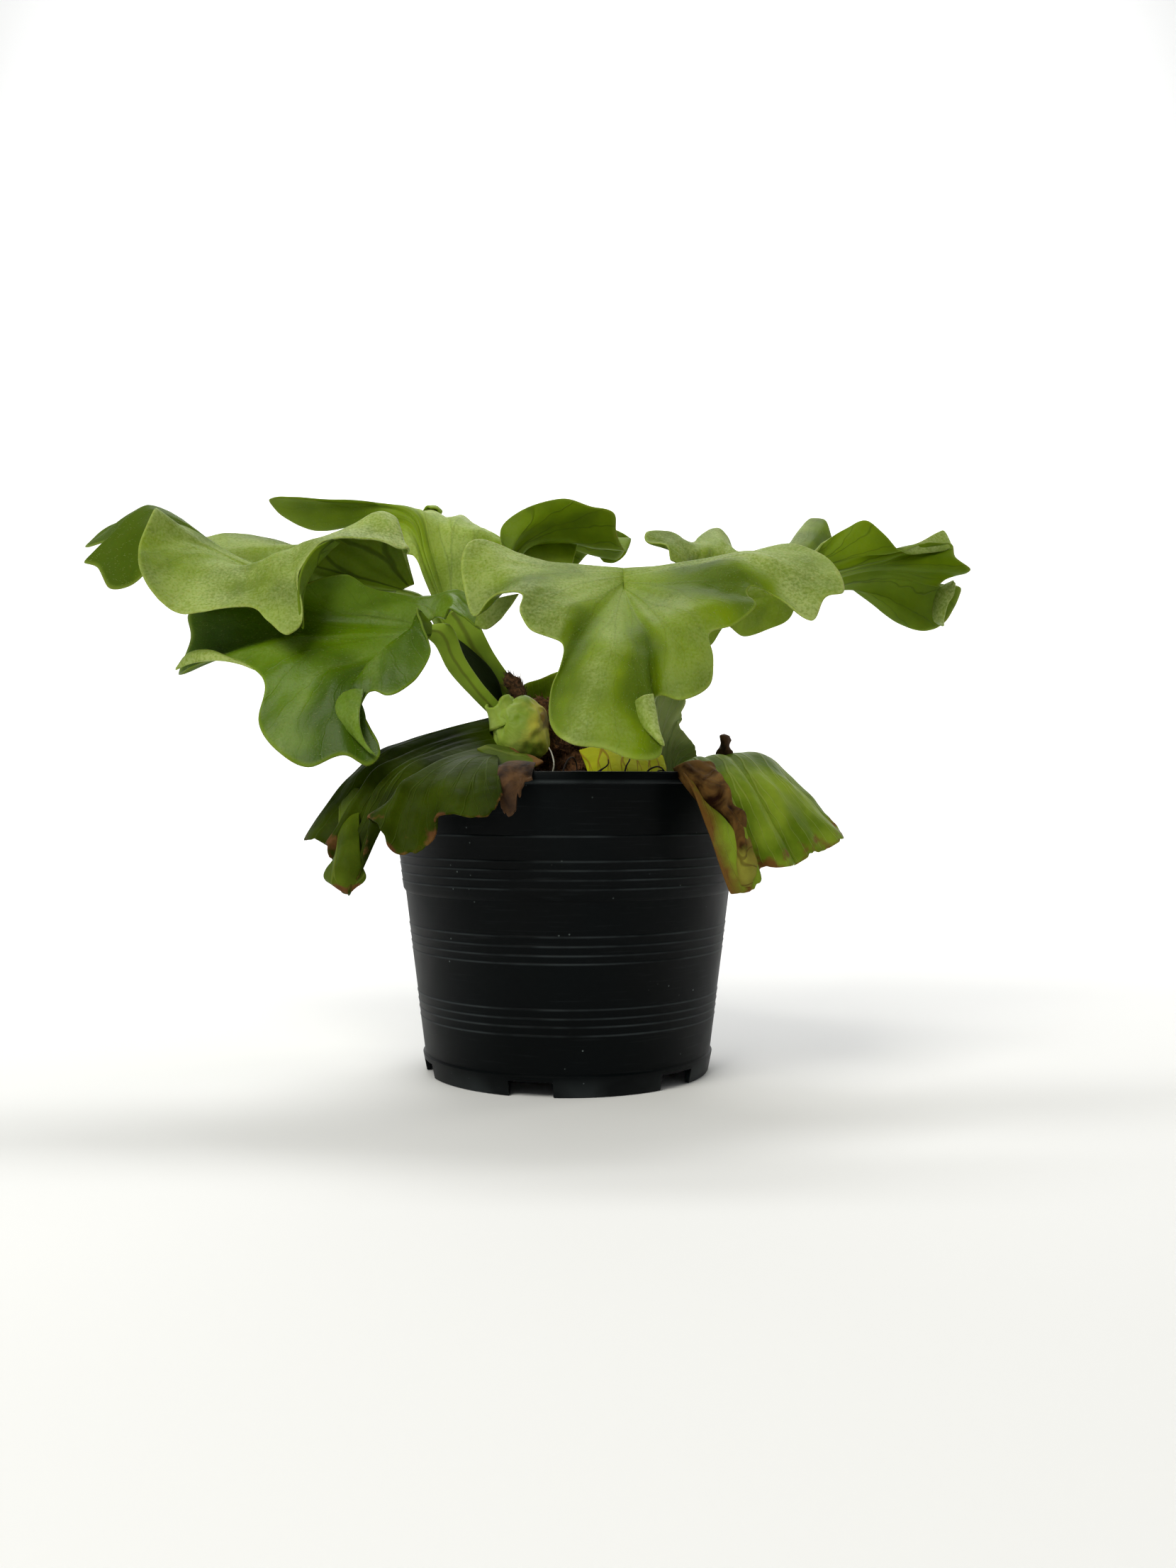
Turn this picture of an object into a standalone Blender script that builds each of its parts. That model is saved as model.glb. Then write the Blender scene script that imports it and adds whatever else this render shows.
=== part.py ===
"""A staghorn fern in a round nursery pot.

Metres, +Z up, +Y away from the viewer. The origin is the middle of the pot's foot.
"""

import math

import bmesh
import bpy
from mathutils import Vector

MM = 0.001
GAP = 0.3
TINY = 0.00001

# The pot, in millimetres.
POT_HEIGHT = 105.4
RIM_RADIUS = 63.5
FOOT_RADIUS = 50.8
LIP_OUT = 1.5
BAND_HEIGHT = 3.8
WALL = 1.6
FOOT_HEIGHT = 7.0
FLOOR_LIFT = 3.5
PAD_RADIUS = 9.0
NOTCH_WIDTH = 15.0
NOTCH_HEIGHT = 5.0
NOTCH_COUNT = 6
NOTCH_FIRST = -103.0

# The potting mix, in millimetres.
SOIL_LEVEL = 101.0
SOIL_MOUND = 5.0
MOUND_SPREAD = 26.0

# The fronds, in millimetres.
BLADE = 0.9
STALK = 4.2
HEAD_THICKNESS = 2.2
STALK_SIDES = 12
STALK_STEPS = 2
SHIELD = 1.1
ROOT_RADIUS = 0.5

# Where the plant is looked at from. Frond points are written as they look from here.
EYE_DISTANCE = 485.0
EYE_SIDE = 7.3
EYE_HEIGHT = 101.4


def clear_scene():
    for old in list(bpy.data.objects):
        bpy.data.objects.remove(old)


def material(name, colour, roughness):
    mat = bpy.data.materials.new(name)
    mat.use_nodes = True
    shader = mat.node_tree.nodes["Principled BSDF"]
    shader.inputs["Base Color"].default_value = (*colour, 1.0)
    shader.inputs["Roughness"].default_value = roughness
    shader.inputs["Metallic"].default_value = 0.0
    return mat


def add_object(name, bm, mat, smooth_angle=50):
    """Turns the bmesh into a named object with its material."""
    mesh = bpy.data.meshes.new(name)
    bm.to_mesh(mesh)
    bm.free()
    mesh.materials.append(mat)
    mesh.shade_smooth()
    mesh.set_sharp_from_angle(angle=math.radians(smooth_angle))
    obj = bpy.data.objects.new(name, mesh)
    bpy.context.scene.collection.objects.link(obj)
    return obj


def combine(obj, other, operation):
    """Joins the other shape to obj, or cuts it out, and keeps the other only as a guide."""
    other.hide_render = True
    other.display_type = "WIRE"
    boolean = obj.modifiers.new(operation.lower(), "BOOLEAN")
    boolean.operation = operation
    boolean.object = other


def make_room(obj, neighbour):
    """Cuts the neighbour's shape, grown by the gap, out of obj."""
    cutter = neighbour.copy()
    cutter.name = obj.name + "_room_for_" + neighbour.name
    bpy.context.scene.collection.objects.link(cutter)
    grow = cutter.modifiers.new("grow", "DISPLACE")
    grow.strength = GAP * MM
    grow.mid_level = 0.0
    combine(obj, cutter, "DIFFERENCE")


def seen(across, depth, up):
    """The place that looks to be at across and up in the plane of the pot's axis, at this depth."""
    stretch = 1 + depth / EYE_DISTANCE
    x = EYE_SIDE + (across - EYE_SIDE) * stretch
    z = EYE_HEIGHT + (up - EYE_HEIGHT) * stretch
    return Vector((x, depth, z)) * MM


def smooth(points, where):
    """A point on the smooth curve through the points, with where from 0 to 1.

    Each piece bends with the square root of its length, so that short pieces beside long ones don't loop.
    """
    last = len(points) - 1
    at = min(int(where * last), last - 1)
    t = where * last - at
    p1 = points[at]
    p2 = points[at + 1]
    p0 = points[at - 1] if at > 0 else p1 * 2 - p2
    p3 = points[at + 2] if at + 2 <= last else p2 * 2 - p1
    k0 = max((p1 - p0).length, TINY) ** 0.5
    k1 = max((p2 - p1).length, TINY) ** 0.5
    k2 = max((p3 - p2).length, TINY) ** 0.5
    leave = (p2 - p1) + ((p1 - p0) / k0 - (p2 - p0) / (k0 + k1)) * k1
    arrive = (p2 - p1) + ((p3 - p2) / k2 - (p3 - p1) / (k1 + k2)) * k1
    bend = (p2 - p1) * 3 - leave * 2 - arrive
    curl = leave + arrive - (p2 - p1) * 2
    return p1 + leave * t + bend * t * t + curl * t * t * t


def turned(profile, sides):
    """A closed solid turned round Z from a closed outline of (radius, height) in millimetres."""
    bm = bmesh.new()
    verts = [bm.verts.new((radius * MM, 0, height * MM)) for radius, height in profile]
    edges = [bm.edges.new((verts[i - 1], verts[i])) for i in range(1, len(verts))]
    bmesh.ops.spin(bm, geom=verts + edges, cent=(0, 0, 0), axis=(0, 0, 1), angle=math.tau, steps=sides)
    bmesh.ops.remove_doubles(bm, verts=bm.verts, dist=0.00001)
    bmesh.ops.recalc_face_normals(bm, faces=bm.faces)
    return bm


def make_pot(plastic):
    """The moulded pot: outer wall with its band and steps, inner wall, raised floor and centre pad."""
    taper = (RIM_RADIUS - FOOT_RADIUS) / POT_HEIGHT

    def outer(height):
        return FOOT_RADIUS + taper * height

    band = POT_HEIGHT - BAND_HEIGHT
    step = 64.0
    inner_floor = FLOOR_LIFT + WALL
    profile = [
        (0, 0),
        (PAD_RADIUS, 0),
        (PAD_RADIUS, FLOOR_LIFT),
        (FOOT_RADIUS - 2.4, FLOOR_LIFT),
        (FOOT_RADIUS - 2.0, 0),
        (FOOT_RADIUS - 0.4, 0),
        (outer(FOOT_HEIGHT), FOOT_HEIGHT),
        (outer(FOOT_HEIGHT) - 0.5, FOOT_HEIGHT + 0.4),
        (outer(step) - 0.7, step),
        (outer(step) + 0.1, step + 1.2),
        (outer(band), band),
        (RIM_RADIUS + LIP_OUT, band + 0.3),
        (RIM_RADIUS + LIP_OUT, POT_HEIGHT - 0.5),
        (RIM_RADIUS + LIP_OUT - 0.6, POT_HEIGHT),
        (RIM_RADIUS - WALL + 0.4, POT_HEIGHT),
        (RIM_RADIUS - WALL, POT_HEIGHT - 0.5),
        (outer(inner_floor) - WALL - 0.6, inner_floor),
        (0, inner_floor),
    ]
    pot = add_object("pot", turned(profile, 48), plastic, 30)
    for i in range(NOTCH_COUNT):
        angle = math.radians(NOTCH_FIRST + 360 / NOTCH_COUNT * i)
        bm = bmesh.new()
        bmesh.ops.create_cube(bm, size=1.0)
        size = Vector((12 * MM, NOTCH_WIDTH * MM, (NOTCH_HEIGHT + 2) * MM))
        bmesh.ops.scale(bm, vec=size, verts=bm.verts)
        notch = add_object("notch_%d" % i, bm, plastic)
        middle = FOOT_RADIUS - 1.0
        height = (NOTCH_HEIGHT - 2) / 2
        notch.location = (middle * math.cos(angle) * MM, middle * math.sin(angle) * MM, height * MM)
        notch.rotation_euler = (0, 0, angle)
        combine(pot, notch, "DIFFERENCE")
    return pot


def soil_height(x, y):
    """Height of the mix in millimetres, mounded round the crown."""
    away = ((x + 4) ** 2 + (y - 4) ** 2) / MOUND_SPREAD**2
    lumps = 0.5 * math.sin(x * 0.55) * math.cos(y * 0.47) + 0.35 * math.sin(y * 1.1 + x * 0.3)
    return SOIL_LEVEL + SOIL_MOUND * math.exp(-away) + lumps


def make_soil(earth):
    """The filling of the pot, clear of its wall and floor."""
    taper = (RIM_RADIUS - FOOT_RADIUS) / POT_HEIGHT
    floor = FLOOR_LIFT + WALL + GAP
    floor_radius = FOOT_RADIUS + taper * floor - WALL - 0.6 - GAP - 0.6
    top_radius = RIM_RADIUS - WALL - GAP - 1.1
    rings = 5
    profile = [(0, floor), (floor_radius, floor)]
    profile += [(top_radius * (rings - i) / rings, SOIL_LEVEL) for i in range(rings + 1)]
    bm = turned(profile, 36)
    for vert in bm.verts:
        if vert.co.z > 0.5 * SOIL_LEVEL * MM:
            vert.co.z = soil_height(vert.co.x / MM, vert.co.y / MM) * MM
    bmesh.ops.triangulate(bm, faces=bm.faces)
    return add_object("soil", bm, earth, 60)


def tube(path, sides, bump):
    """A closed lumpy tube along (x, y, z, radius) points, with round ends."""
    bm = bmesh.new()
    centres = [Vector(p[:3]) for p in path]
    loops = []
    for i, centre in enumerate(centres):
        ahead = centres[min(i + 1, len(path) - 1)] - centres[max(i - 1, 0)]
        turn = ahead.to_track_quat("Z", "Y")
        loop = []
        for j in range(sides):
            angle = math.tau * j / sides
            radius = path[i][3] * (1 + bump * math.sin(3 * angle + 2 * i) * math.cos(2 * angle - i))
            out = turn @ Vector((math.cos(angle) * radius, math.sin(angle) * radius, 0))
            loop.append(bm.verts.new((centre + out) * MM))
        loops.append(loop)
    for below, above in zip(loops, loops[1:]):
        for j in range(sides):
            bm.faces.new((below[j - 1], below[j], above[j], above[j - 1]))
    bm.faces.new(loops[0][::-1])
    bm.faces.new(loops[-1])
    bmesh.ops.triangulate(bm, faces=bm.faces)
    bmesh.ops.recalc_face_normals(bm, faces=bm.faces)
    return bm


def make_rhizome(bark):
    path = [
        (3.5, 6, 88, 8.2),
        (3.2, 6, 94, 8.8),
        (3, 6, 99, 9.5),
        (2, 6, 106, 11),
        (-3, 6, 114, 11.5),
        (-9, 7, 122, 9.5),
        (-12.5, 7, 127, 8),
        (-14.2, 7, 129.5, 6),
        (-15.2, 7, 131, 3),
    ]
    return add_object("rhizome", tube(path, 16, 0.06), bark)


def make_shield_young(leaf):
    """The round young shield frond on the crown's front, with a few soft dimples."""
    bm = bmesh.new()
    bmesh.ops.create_icosphere(bm, subdivisions=3, radius=1.0)
    middle = seen(-16.8, -11, 120.6)
    for vert in bm.verts:
        n = vert.co.copy()
        swell = 1 + 0.05 * math.sin(4 * n.x + 1) * math.cos(5 * n.z) - 0.04 * math.cos(6 * n.x + 3 * n.z)
        vert.co = middle + Vector((n.x * 10.4, n.y * 9.2, n.z * 11.9)) * swell * MM
    return add_object("shield_young", bm, leaf)


def sheet(name, net, rows, thickness, mat):
    """A thin closed solid on a control net, one list of points for each line across it.

    It has one column of faces between two neighbouring points, and rows[i] rows between two lines.
    """
    places = [(i + k / n) / len(rows) for i, n in enumerate(rows) for k in range(n)] + [1.0]
    columns = len(net[0]) - 1
    bm = bmesh.new()
    bmesh.ops.create_grid(bm, x_segments=columns, y_segments=len(places) - 1, size=0.5)
    for vert in bm.verts:
        row = round((vert.co.y + 0.5) * (len(places) - 1))
        across = vert.co.x + 0.5
        vert.co = smooth([smooth(line, across) for line in net], places[row])
    bmesh.ops.triangulate(bm, faces=bm.faces, quad_method="FIXED")
    thin = add_object(name, bm, mat)
    skin = thin.modifiers.new("skin", "SOLIDIFY")
    skin.thickness = thickness * MM
    skin.offset = 0.0
    return thin


def make_stalk(name, stalk, side, mat):
    """The frond's stalk: an oval tube that widens, flattens and ends inside the blade."""
    side = Vector(side).normalized()
    points = [seen(*p[:3]) for p in stalk]
    widths = [p[3] for p in stalk]
    steps = STALK_STEPS * (len(points) - 1)
    bm = bmesh.new()
    loops = []
    for i in range(steps + 1):
        where = i / steps
        centre = smooth(points, where)
        before = smooth(points, max(0.0, where - 0.02))
        after = smooth(points, min(1.0, where + 0.02))
        flat = (after - before).normalized().cross(side).normalized()
        spot = where * (len(widths) - 1)
        at = min(int(spot), len(widths) - 2)
        width = widths[at] + (widths[at + 1] - widths[at]) * (spot - at)
        depth = STALK + (HEAD_THICKNESS - STALK) * where
        loop = []
        for j in range(STALK_SIDES):
            angle = math.tau * j / STALK_SIDES
            out = side * math.cos(angle) * width / 2 + flat * math.sin(angle) * depth / 2
            loop.append(bm.verts.new(centre + out * MM))
        loops.append(loop)
    for below, above in zip(loops, loops[1:]):
        for j in range(STALK_SIDES):
            bm.faces.new((below[j - 1], below[j], above[j], above[j - 1]))
    bm.faces.new(loops[0][::-1])
    bm.faces.new(loops[-1])
    bmesh.ops.triangulate(bm, faces=bm.faces)
    bmesh.ops.recalc_face_normals(bm, faces=bm.faces)
    return add_object(name, bm, mat)


def make_frond(name, stalk, side, fan, veins, mat, sag=0.0):
    """A blade fused to its stalk, sagging between its head and its lobes.

    The fan is the line where the blade leaves the stalk, from one side round to the other. Each vein is
    written as two points (across, depth, up), the first in the blade and the second on its margin.
    """
    inner = [seen(*vein[0]) for vein in veins]
    steps = [0.0] + [(q - p).length for p, q in zip(inner, inner[1:])]
    total = sum(steps)
    line = [seen(*p) for p in fan]
    starts = [smooth(line, min(1.0, sum(steps[: i + 1]) / total)) for i in range(len(veins))]
    middle = []
    for start, point in zip(starts, inner):
        drop = sag * ((point - start).length / 0.1) ** 2
        middle.append(start.lerp(point, 0.65) - Vector((0, 0, drop * MM)))
    net = [starts, middle, inner, [seen(*vein[1]) for vein in veins]]
    frond = sheet(name, net, (2, 2, 4), BLADE, mat)
    stem = make_stalk(name + "_stalk", stalk, side, mat)
    combine(frond, stem, "UNION")
    return stem


def make_shield(name, veins, mat, rows=(3, 3, 4)):
    """A shield frond or a scrap of one, a sheet with no stalk."""
    net = [[seen(*vein[i]) for vein in veins] for i in range(len(veins[0]))]
    return sheet(name, net, rows, SHIELD, mat)


def make_frond_left_upper(leaf):
    """The frond with a pale bloom that goes left, its tip twisted over and a flap behind."""
    stalk = [
        (-18, 5, 122, 4.5),
        (-26, 4, 130, 5),
        (-35.5, 3, 143, 5.5),
        (-45, 3, 157, 6.5),
        (-53, 5, 168, 9),
        (-62, 4.6, 171, 6),
    ]
    veins = [
        [(-60, -5, 187), (-58, -12, 184)],
        [(-60.5, -5, 192.5), (-57.5, -15, 186)],
        [(-62.5, -5, 197), (-61, -17, 186.5)],
        [(-67, -4, 199), (-66.5, -18, 188.5)],
        [(-74.5, -4, 195), (-75, -19, 189.5)],
        [(-83, -6, 191), (-84.5, -21, 189.5)],
        [(-89.5, -10, 189.5), (-91.5, -26, 186)],
        [(-94.5, -12, 188), (-97, -31, 176)],
        [(-99.5, -14, 185.5), (-95.5, -38, 158.5)],
        [(-103, -15, 184), (-101, -40, 154)],
        [(-106.5, -15, 183), (-107.5, -38, 159.5)],
        [(-111.5, -13, 182), (-113.5, -34, 166)],
        [(-119, -12, 181), (-128, -33, 165.5)],
        [(-125.5, -12, 181.5), (-140, -33, 163.5)],
        [(-130, -11, 182.5), (-148, -32, 168.5)],
        [(-133.5, -10, 185), (-154.5, -28, 179)],
        [(-136, -8, 188), (-154.5, -22, 187.5)],
        [(-138.5, -6, 192), (-149, -12, 200.5)],
        [(-142, -2, 194.5), (-150.5, -6, 187)],
        [(-144.5, 1, 195), (-153, 0, 176)],
        [(-146.5, 2, 198), (-165, 4, 171.5)],
        [(-148.5, 3, 200), (-170, 5, 179.5)],
        [(-150, 5, 202), (-175.5, 7, 182)],
        [(-150.5, 8, 202.5), (-165, 12, 189)],
        [(-148, 12, 200.5), (-174.5, 24, 187)],
        [(-144.5, 14, 196), (-161, 27, 195.5)],
        [(-141, 15, 192), (-149, 23, 189)],
        [(-137, 15.5, 188.5), (-140, 27, 187.5)],
        [(-132, 16, 187), (-134, 31, 189.5)],
        [(-125.5, 16, 185.5), (-123.5, 34, 191.5)],
        [(-110, 16, 186.5), (-105, 32, 189)],
        [(-92, 14, 187), (-88.5, 24, 182)],
        [(-71.5, 11, 179), (-78, 17, 177.5)],
    ]
    fan = [
        (-55.2, 3, 173.2),
        (-59.2, 2.5, 171.3),
        (-60.6, 4.6, 170.3),
        (-60.4, 6.6, 170.2),
        (-59.3, 7, 171.8),
    ]
    return make_frond("frond_left_upper", stalk, (0.3, -0.95, 0), fan, veins, leaf, 9.0)


def make_frond_left_lower(leaf):
    """The glossier frond below it, with one long hanging lobe."""
    stalk = [
        (-21, -7, 122, 4.5),
        (-26.5, -8, 128.5, 5.5),
        (-33, -9, 135.5, 6),
        (-40, -10, 144.5, 7.5),
        (-46, -12, 156, 9),
        (-54, -13, 156.8, 6),
    ]
    veins = [
        [(-43, -18, 164.5), (-36, -20, 161)],
        [(-41, -15, 166.5), (-31.5, -18, 157)],
        [(-42, -11, 168.5), (-33, -13, 164)],
        [(-45.5, -8, 169.5), (-38, -9, 171)],
        [(-51, -7, 168.5), (-48, -6, 169.5)],
        [(-56, -6.5, 167.5), (-58, -5.5, 169)],
        [(-65.5, -9.5, 165.5), (-72, -11, 172.5)],
        [(-71.5, -11, 165), (-79.5, -12.5, 177)],
        [(-79.5, -12, 164.5), (-89.5, -12.5, 175.5)],
        [(-88.5, -12, 164), (-101, -10, 170.5)],
        [(-96, -12.5, 163), (-120, -2, 166.5)],
        [(-101, -14, 161), (-137.5, 0, 163.5)],
        [(-103, -17, 158.5), (-137.5, -4, 155.5)],
        [(-103.5, -20, 156), (-141.5, -14, 142)],
        [(-102, -22, 154.5), (-135.5, -20, 144.5)],
        [(-100, -24, 153), (-123.5, -26, 146)],
        [(-96, -28, 150.5), (-112.5, -33, 141.5)],
        [(-92.5, -31, 147.5), (-109, -38, 136.5)],
        [(-89.5, -34, 144), (-111.5, -44, 123.5)],
        [(-86.5, -36, 141.5), (-105.5, -50, 113.5)],
        [(-83.5, -39, 139), (-93, -53, 106.5)],
        [(-81.5, -40, 137.5), (-81, -54, 111.5)],
        [(-79.5, -40.8, 136.5), (-72, -54, 107.5)],
        [(-77.5, -40.5, 137.5), (-67.5, -53, 112.5)],
        [(-75.3, -39.2, 140), (-71, -46, 127)],
        [(-72.3, -37.5, 144), (-72, -43.5, 134)],
        [(-68.5, -36, 147.5), (-69.5, -44, 134.5)],
        [(-64.5, -34, 150.5), (-64, -46, 132.5)],
        [(-59.5, -32, 153.5), (-54, -42, 138.5)],
        [(-56, -30, 157), (-49, -37, 148.5)],
        [(-54.5, -27, 161), (-52, -33, 157.5)],
        [(-53.5, -22, 164), (-54.5, -28, 165)],
    ]
    fan = [
        (-44.3, -15.3, 160.7),
        (-47.5, -9.9, 161.2),
        (-50.9, -10, 158.8),
        (-51.8, -11.1, 157.5),
        (-52, -12.7, 156.2),
        (-51.6, -14, 155.1),
        (-50.4, -15.6, 154),
        (-49.2, -17, 155),
        (-49, -16.1, 159.2),
    ]
    return make_frond("frond_left_lower", stalk, (-0.78, 0, -0.62), fan, veins, leaf)


def make_frond_centre_back(leaf):
    """The frond on a broad flat stalk, behind the others, with one branch that goes right."""
    stalk = [
        (-13, 9, 124, 4.5),
        (-19.5, 9, 132.5, 6),
        (-24, 9, 138, 7.5),
        (-30, 10, 146, 9),
        (-37.8, 11, 157.6, 12.5),
        (-41.5, 11.6, 163, 11),
    ]
    veins = [
        [(-55.5, 20.5, 183.5), (-59.5, 20.5, 184)],
        [(-57, 23, 190.5), (-61.5, 24.5, 190)],
        [(-57.2, 24.5, 194), (-73, 28.5, 192)],
        [(-57, 26, 196.5), (-92, 31.5, 192)],
        [(-56.8, 27, 197.3), (-102.5, 34, 197.5)],
        [(-56.5, 28, 198), (-108, 36, 202)],
        [(-56, 29.5, 199), (-100, 39, 204.5)],
        [(-55, 31, 199.5), (-82.5, 43, 202)],
        [(-54, 32, 199.5), (-71.5, 47, 199)],
        [(-52.5, 33, 199), (-61.5, 53, 198)],
        [(-50, 33.5, 198), (-54, 57, 198.5)],
        [(-47, 33.5, 197), (-48.5, 58, 200.5)],
        [(-44, 33, 195.5), (-44, 57, 196.5)],
        [(-41, 32, 194.5), (-38.5, 55, 198)],
        [(-37.5, 31, 193.5), (-33, 51, 194.5)],
        [(-33, 30, 192.5), (-27, 36, 192)],
        [(-26, 31, 189.5), (-12, 44, 183)],
        [(-21, 33, 187.5), (2, 55, 179.5)],
        [(-17.5, 33, 187), (9, 60, 184.5)],
        [(-15, 32, 187), (18, 59, 181.5)],
        [(-13, 30, 187.5), (23, 51, 190)],
        [(-12, 28, 188), (21, 39, 185.5)],
        [(-12, 26, 189), (17.5, 33, 192)],
        [(-13, 23.5, 190), (17, 29, 199)],
        [(-15.5, 21.5, 190.5), (8.5, 25, 201.5)],
        [(-18, 19, 189.5), (-3, 23, 204.5)],
        [(-19, 17, 186), (-16, 20, 198)],
        [(-21.8, 14, 178.6), (-19, 14, 181)],
        [(-25.8, 12.5, 173.1), (-23, 12, 174.5)],
        [(-29.3, 11, 167.6), (-27, 10.5, 168.5)],
    ]
    fan = [(-43.3, 11.1, 155.8), (-38.9, 11.2, 159.3), (-35, 11.1, 162.6)]
    return make_frond("frond_centre_back", stalk, (0.78, 0, 0.62), fan, veins, leaf)


def make_frond_front(leaf):
    """The big frond that arches forward and hangs in front of the rim, with a lobe to the right."""
    stalk = [
        (0, -1, 113, 4.5),
        (2.5, -6, 122, 5),
        (8, -14, 138, 6),
        (14, -21, 156, 8),
        (20, -27, 174, 12),
        (21.5, -28.5, 177.5, 9),
    ]
    veins = [
        [(-6.5, -26, 180.5), (-19.5, -26, 185)],
        [(-10.5, -28, 181.5), (-28.5, -27, 188.5)],
        [(-13, -31, 180.5), (-35.5, -30, 188.5)],
        [(-14.5, -34, 179), (-38.5, -34, 183)],
        [(-15, -38, 177.5), (-37.5, -40, 171.5)],
        [(-15, -41, 176), (-34, -44, 161.5)],
        [(-13.5, -43, 174.5), (-29, -47, 167)],
        [(-11.5, -45, 173), (-21, -50, 170)],
        [(-9, -47, 171.5), (-16.5, -52, 169.5)],
        [(-6.5, -49, 169.5), (-17.5, -56, 164)],
        [(-4, -51, 167), (-13, -60, 156.5)],
        [(-1, -53, 164.5), (-4.5, -60.5, 153.5)],
        [(2, -55, 161.5), (-2, -62, 152)],
        [(5, -57.5, 157.5), (-3, -69.5, 143)],
        [(7, -59, 155.5), (-6.5, -77, 130.5)],
        [(10, -62, 153), (-5.5, -82, 121)],
        [(13.5, -64, 151), (1.5, -86, 115)],
        [(16.5, -65, 150), (12.5, -88, 113.5)],
        [(20, -65, 150), (23, -89, 110)],
        [(23.5, -64, 151), (33, -88, 111)],
        [(26.5, -63, 153), (33, -83, 121)],
        [(29, -62, 154.5), (32, -73, 133)],
        [(31.5, -61, 156.5), (34, -69, 137.5)],
        [(35, -60, 158), (41, -72, 131)],
        [(38, -59, 160), (51, -69, 136)],
        [(41, -57, 162.5), (52.5, -65, 146)],
        [(44, -55, 165), (51, -60, 155.5)],
        [(47, -53, 168.5), (59.5, -58, 158.5)],
        [(49.5, -50, 172), (68, -57, 166.5)],
        [(51.5, -47, 175.5), (65, -52, 172)],
        [(56, -43, 179.5), (67, -48, 173)],
        [(61, -40, 182), (76, -51, 168)],
        [(65, -38, 182.5), (88, -54, 159.5)],
        [(67.5, -37, 183.5), (93, -48, 168)],
        [(68.5, -35, 184), (99.5, -46, 170)],
        [(68, -33, 185), (97.5, -38, 178)],
        [(66, -31, 185), (92.5, -31, 183.5)],
        [(62.5, -29, 184), (80, -26, 188)],
        [(56, -27, 182), (66, -23, 185)],
        [(47, -26, 180), (53.5, -23, 181)],
    ]
    fan = [
        (14.2, -26.8, 175.4),
        (14.3, -28.8, 174.6),
        (15.1, -30.4, 173.6),
        (17, -31.7, 171.8),
        (20, -32.1, 170.8),
        (23, -31.7, 171.8),
        (24.6, -30, 173.4),
        (25.5, -28.6, 174.8),
        (25.8, -26.8, 175.3),
    ]
    return make_frond("frond_front", stalk, (1, 0, 0), fan, veins, leaf)


def make_frond_right(leaf):
    """The frond that goes right and back, and ends in a broad blade seen from below."""
    stalk = [
        (1, 8, 113, 4.5),
        (7, 10, 122, 5),
        (17, 12, 136, 6),
        (30, 15, 152, 8),
        (42, 18, 166, 11),
        (49.5, 19.8, 168.5, 6),
    ]
    veins = [
        [(42, 16, 179), (37, 14, 182)],
        [(42, 17, 181.5), (35.5, 15, 187.5)],
        [(42.5, 18, 183), (28, 19, 189)],
        [(43.5, 20, 184), (28.5, 23, 192.5)],
        [(45, 22, 185), (37, 28, 192.5)],
        [(47, 24, 185.5), (41, 32, 189.5)],
        [(49.5, 26, 185), (45.5, 38, 187.5)],
        [(52, 28, 185), (49.5, 48, 192)],
        [(54.5, 29, 184.5), (54, 52, 193.5)],
        [(57, 30, 184), (57.5, 50, 190.5)],
        [(60.5, 30, 183.5), (61, 44, 185)],
        [(66, 30, 183), (72.5, 44, 185)],
        [(72.5, 29, 183), (81.5, 54, 188)],
        [(77.5, 28, 183.5), (87, 64, 197.5)],
        [(82, 27, 183.5), (93, 62, 198)],
        [(87, 33, 180), (96.5, 53, 188)],
        [(92, 38.5, 176.5), (102.5, 53, 177)],
        [(97.5, 42.5, 174), (111, 57, 166)],
        [(102.5, 45, 172.6), (119, 62.5, 160)],
        [(106, 46.2, 172.3), (129, 66.5, 156.8)],
        [(109, 45.5, 173), (136, 70, 160)],
        [(110.5, 42.5, 175), (142, 66, 172)],
        [(110.5, 39, 176.5), (134, 54, 171.5)],
        [(109.5, 36, 177.5), (139, 48, 175.5)],
        [(109.5, 33, 179), (145.5, 44, 178.5)],
        [(108.5, 31, 180), (140, 42, 183)],
        [(107.5, 29, 181), (138.5, 46.5, 187.5)],
        [(106, 27, 181.5), (134, 44, 188.5)],
        [(104, 25, 182.5), (129, 39, 189)],
        [(101.5, 23, 183), (120, 29, 185.5)],
        [(98.5, 22, 183.8), (114.5, 26, 191)],
        [(95.5, 21.5, 184.2), (107.5, 24, 196.5)],
        [(92, 21, 184.3), (100.5, 24, 194)],
        [(88.5, 19.5, 184.3), (93, 22, 189)],
        [(84.5, 16.5, 181), (89.5, 17, 185)],
        [(81, 15.5, 177), (86, 16, 177)],
        [(77, 15, 172.5), (83, 17, 169)],
        [(75, 15.5, 168.5), (80, 19, 161)],
        [(71.5, 14.5, 166), (72.5, 15.5, 157)],
        [(65.5, 13, 165.5), (63, 13, 154.5)],
        [(59.5, 12, 165.5), (57, 11, 158.5)],
        [(54, 11, 166), (51, 8, 151)],
        [(49.5, 9.5, 168), (47, 7, 156)],
    ]
    fan = [
        (42, 16.5, 172.8),
        (46, 21.6, 170.6),
        (47.8, 20.4, 169.6),
        (47.6, 22.6, 167.6),
        (48.8, 21.6, 164.9),
        (49.6, 18.6, 165.9),
        (49, 17.2, 166.6),
        (48.4, 15.8, 166.3),
        (47, 13.4, 167),
    ]
    return make_frond("frond_right", stalk, (0.75, 0, -0.66), fan, veins, leaf)


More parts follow.
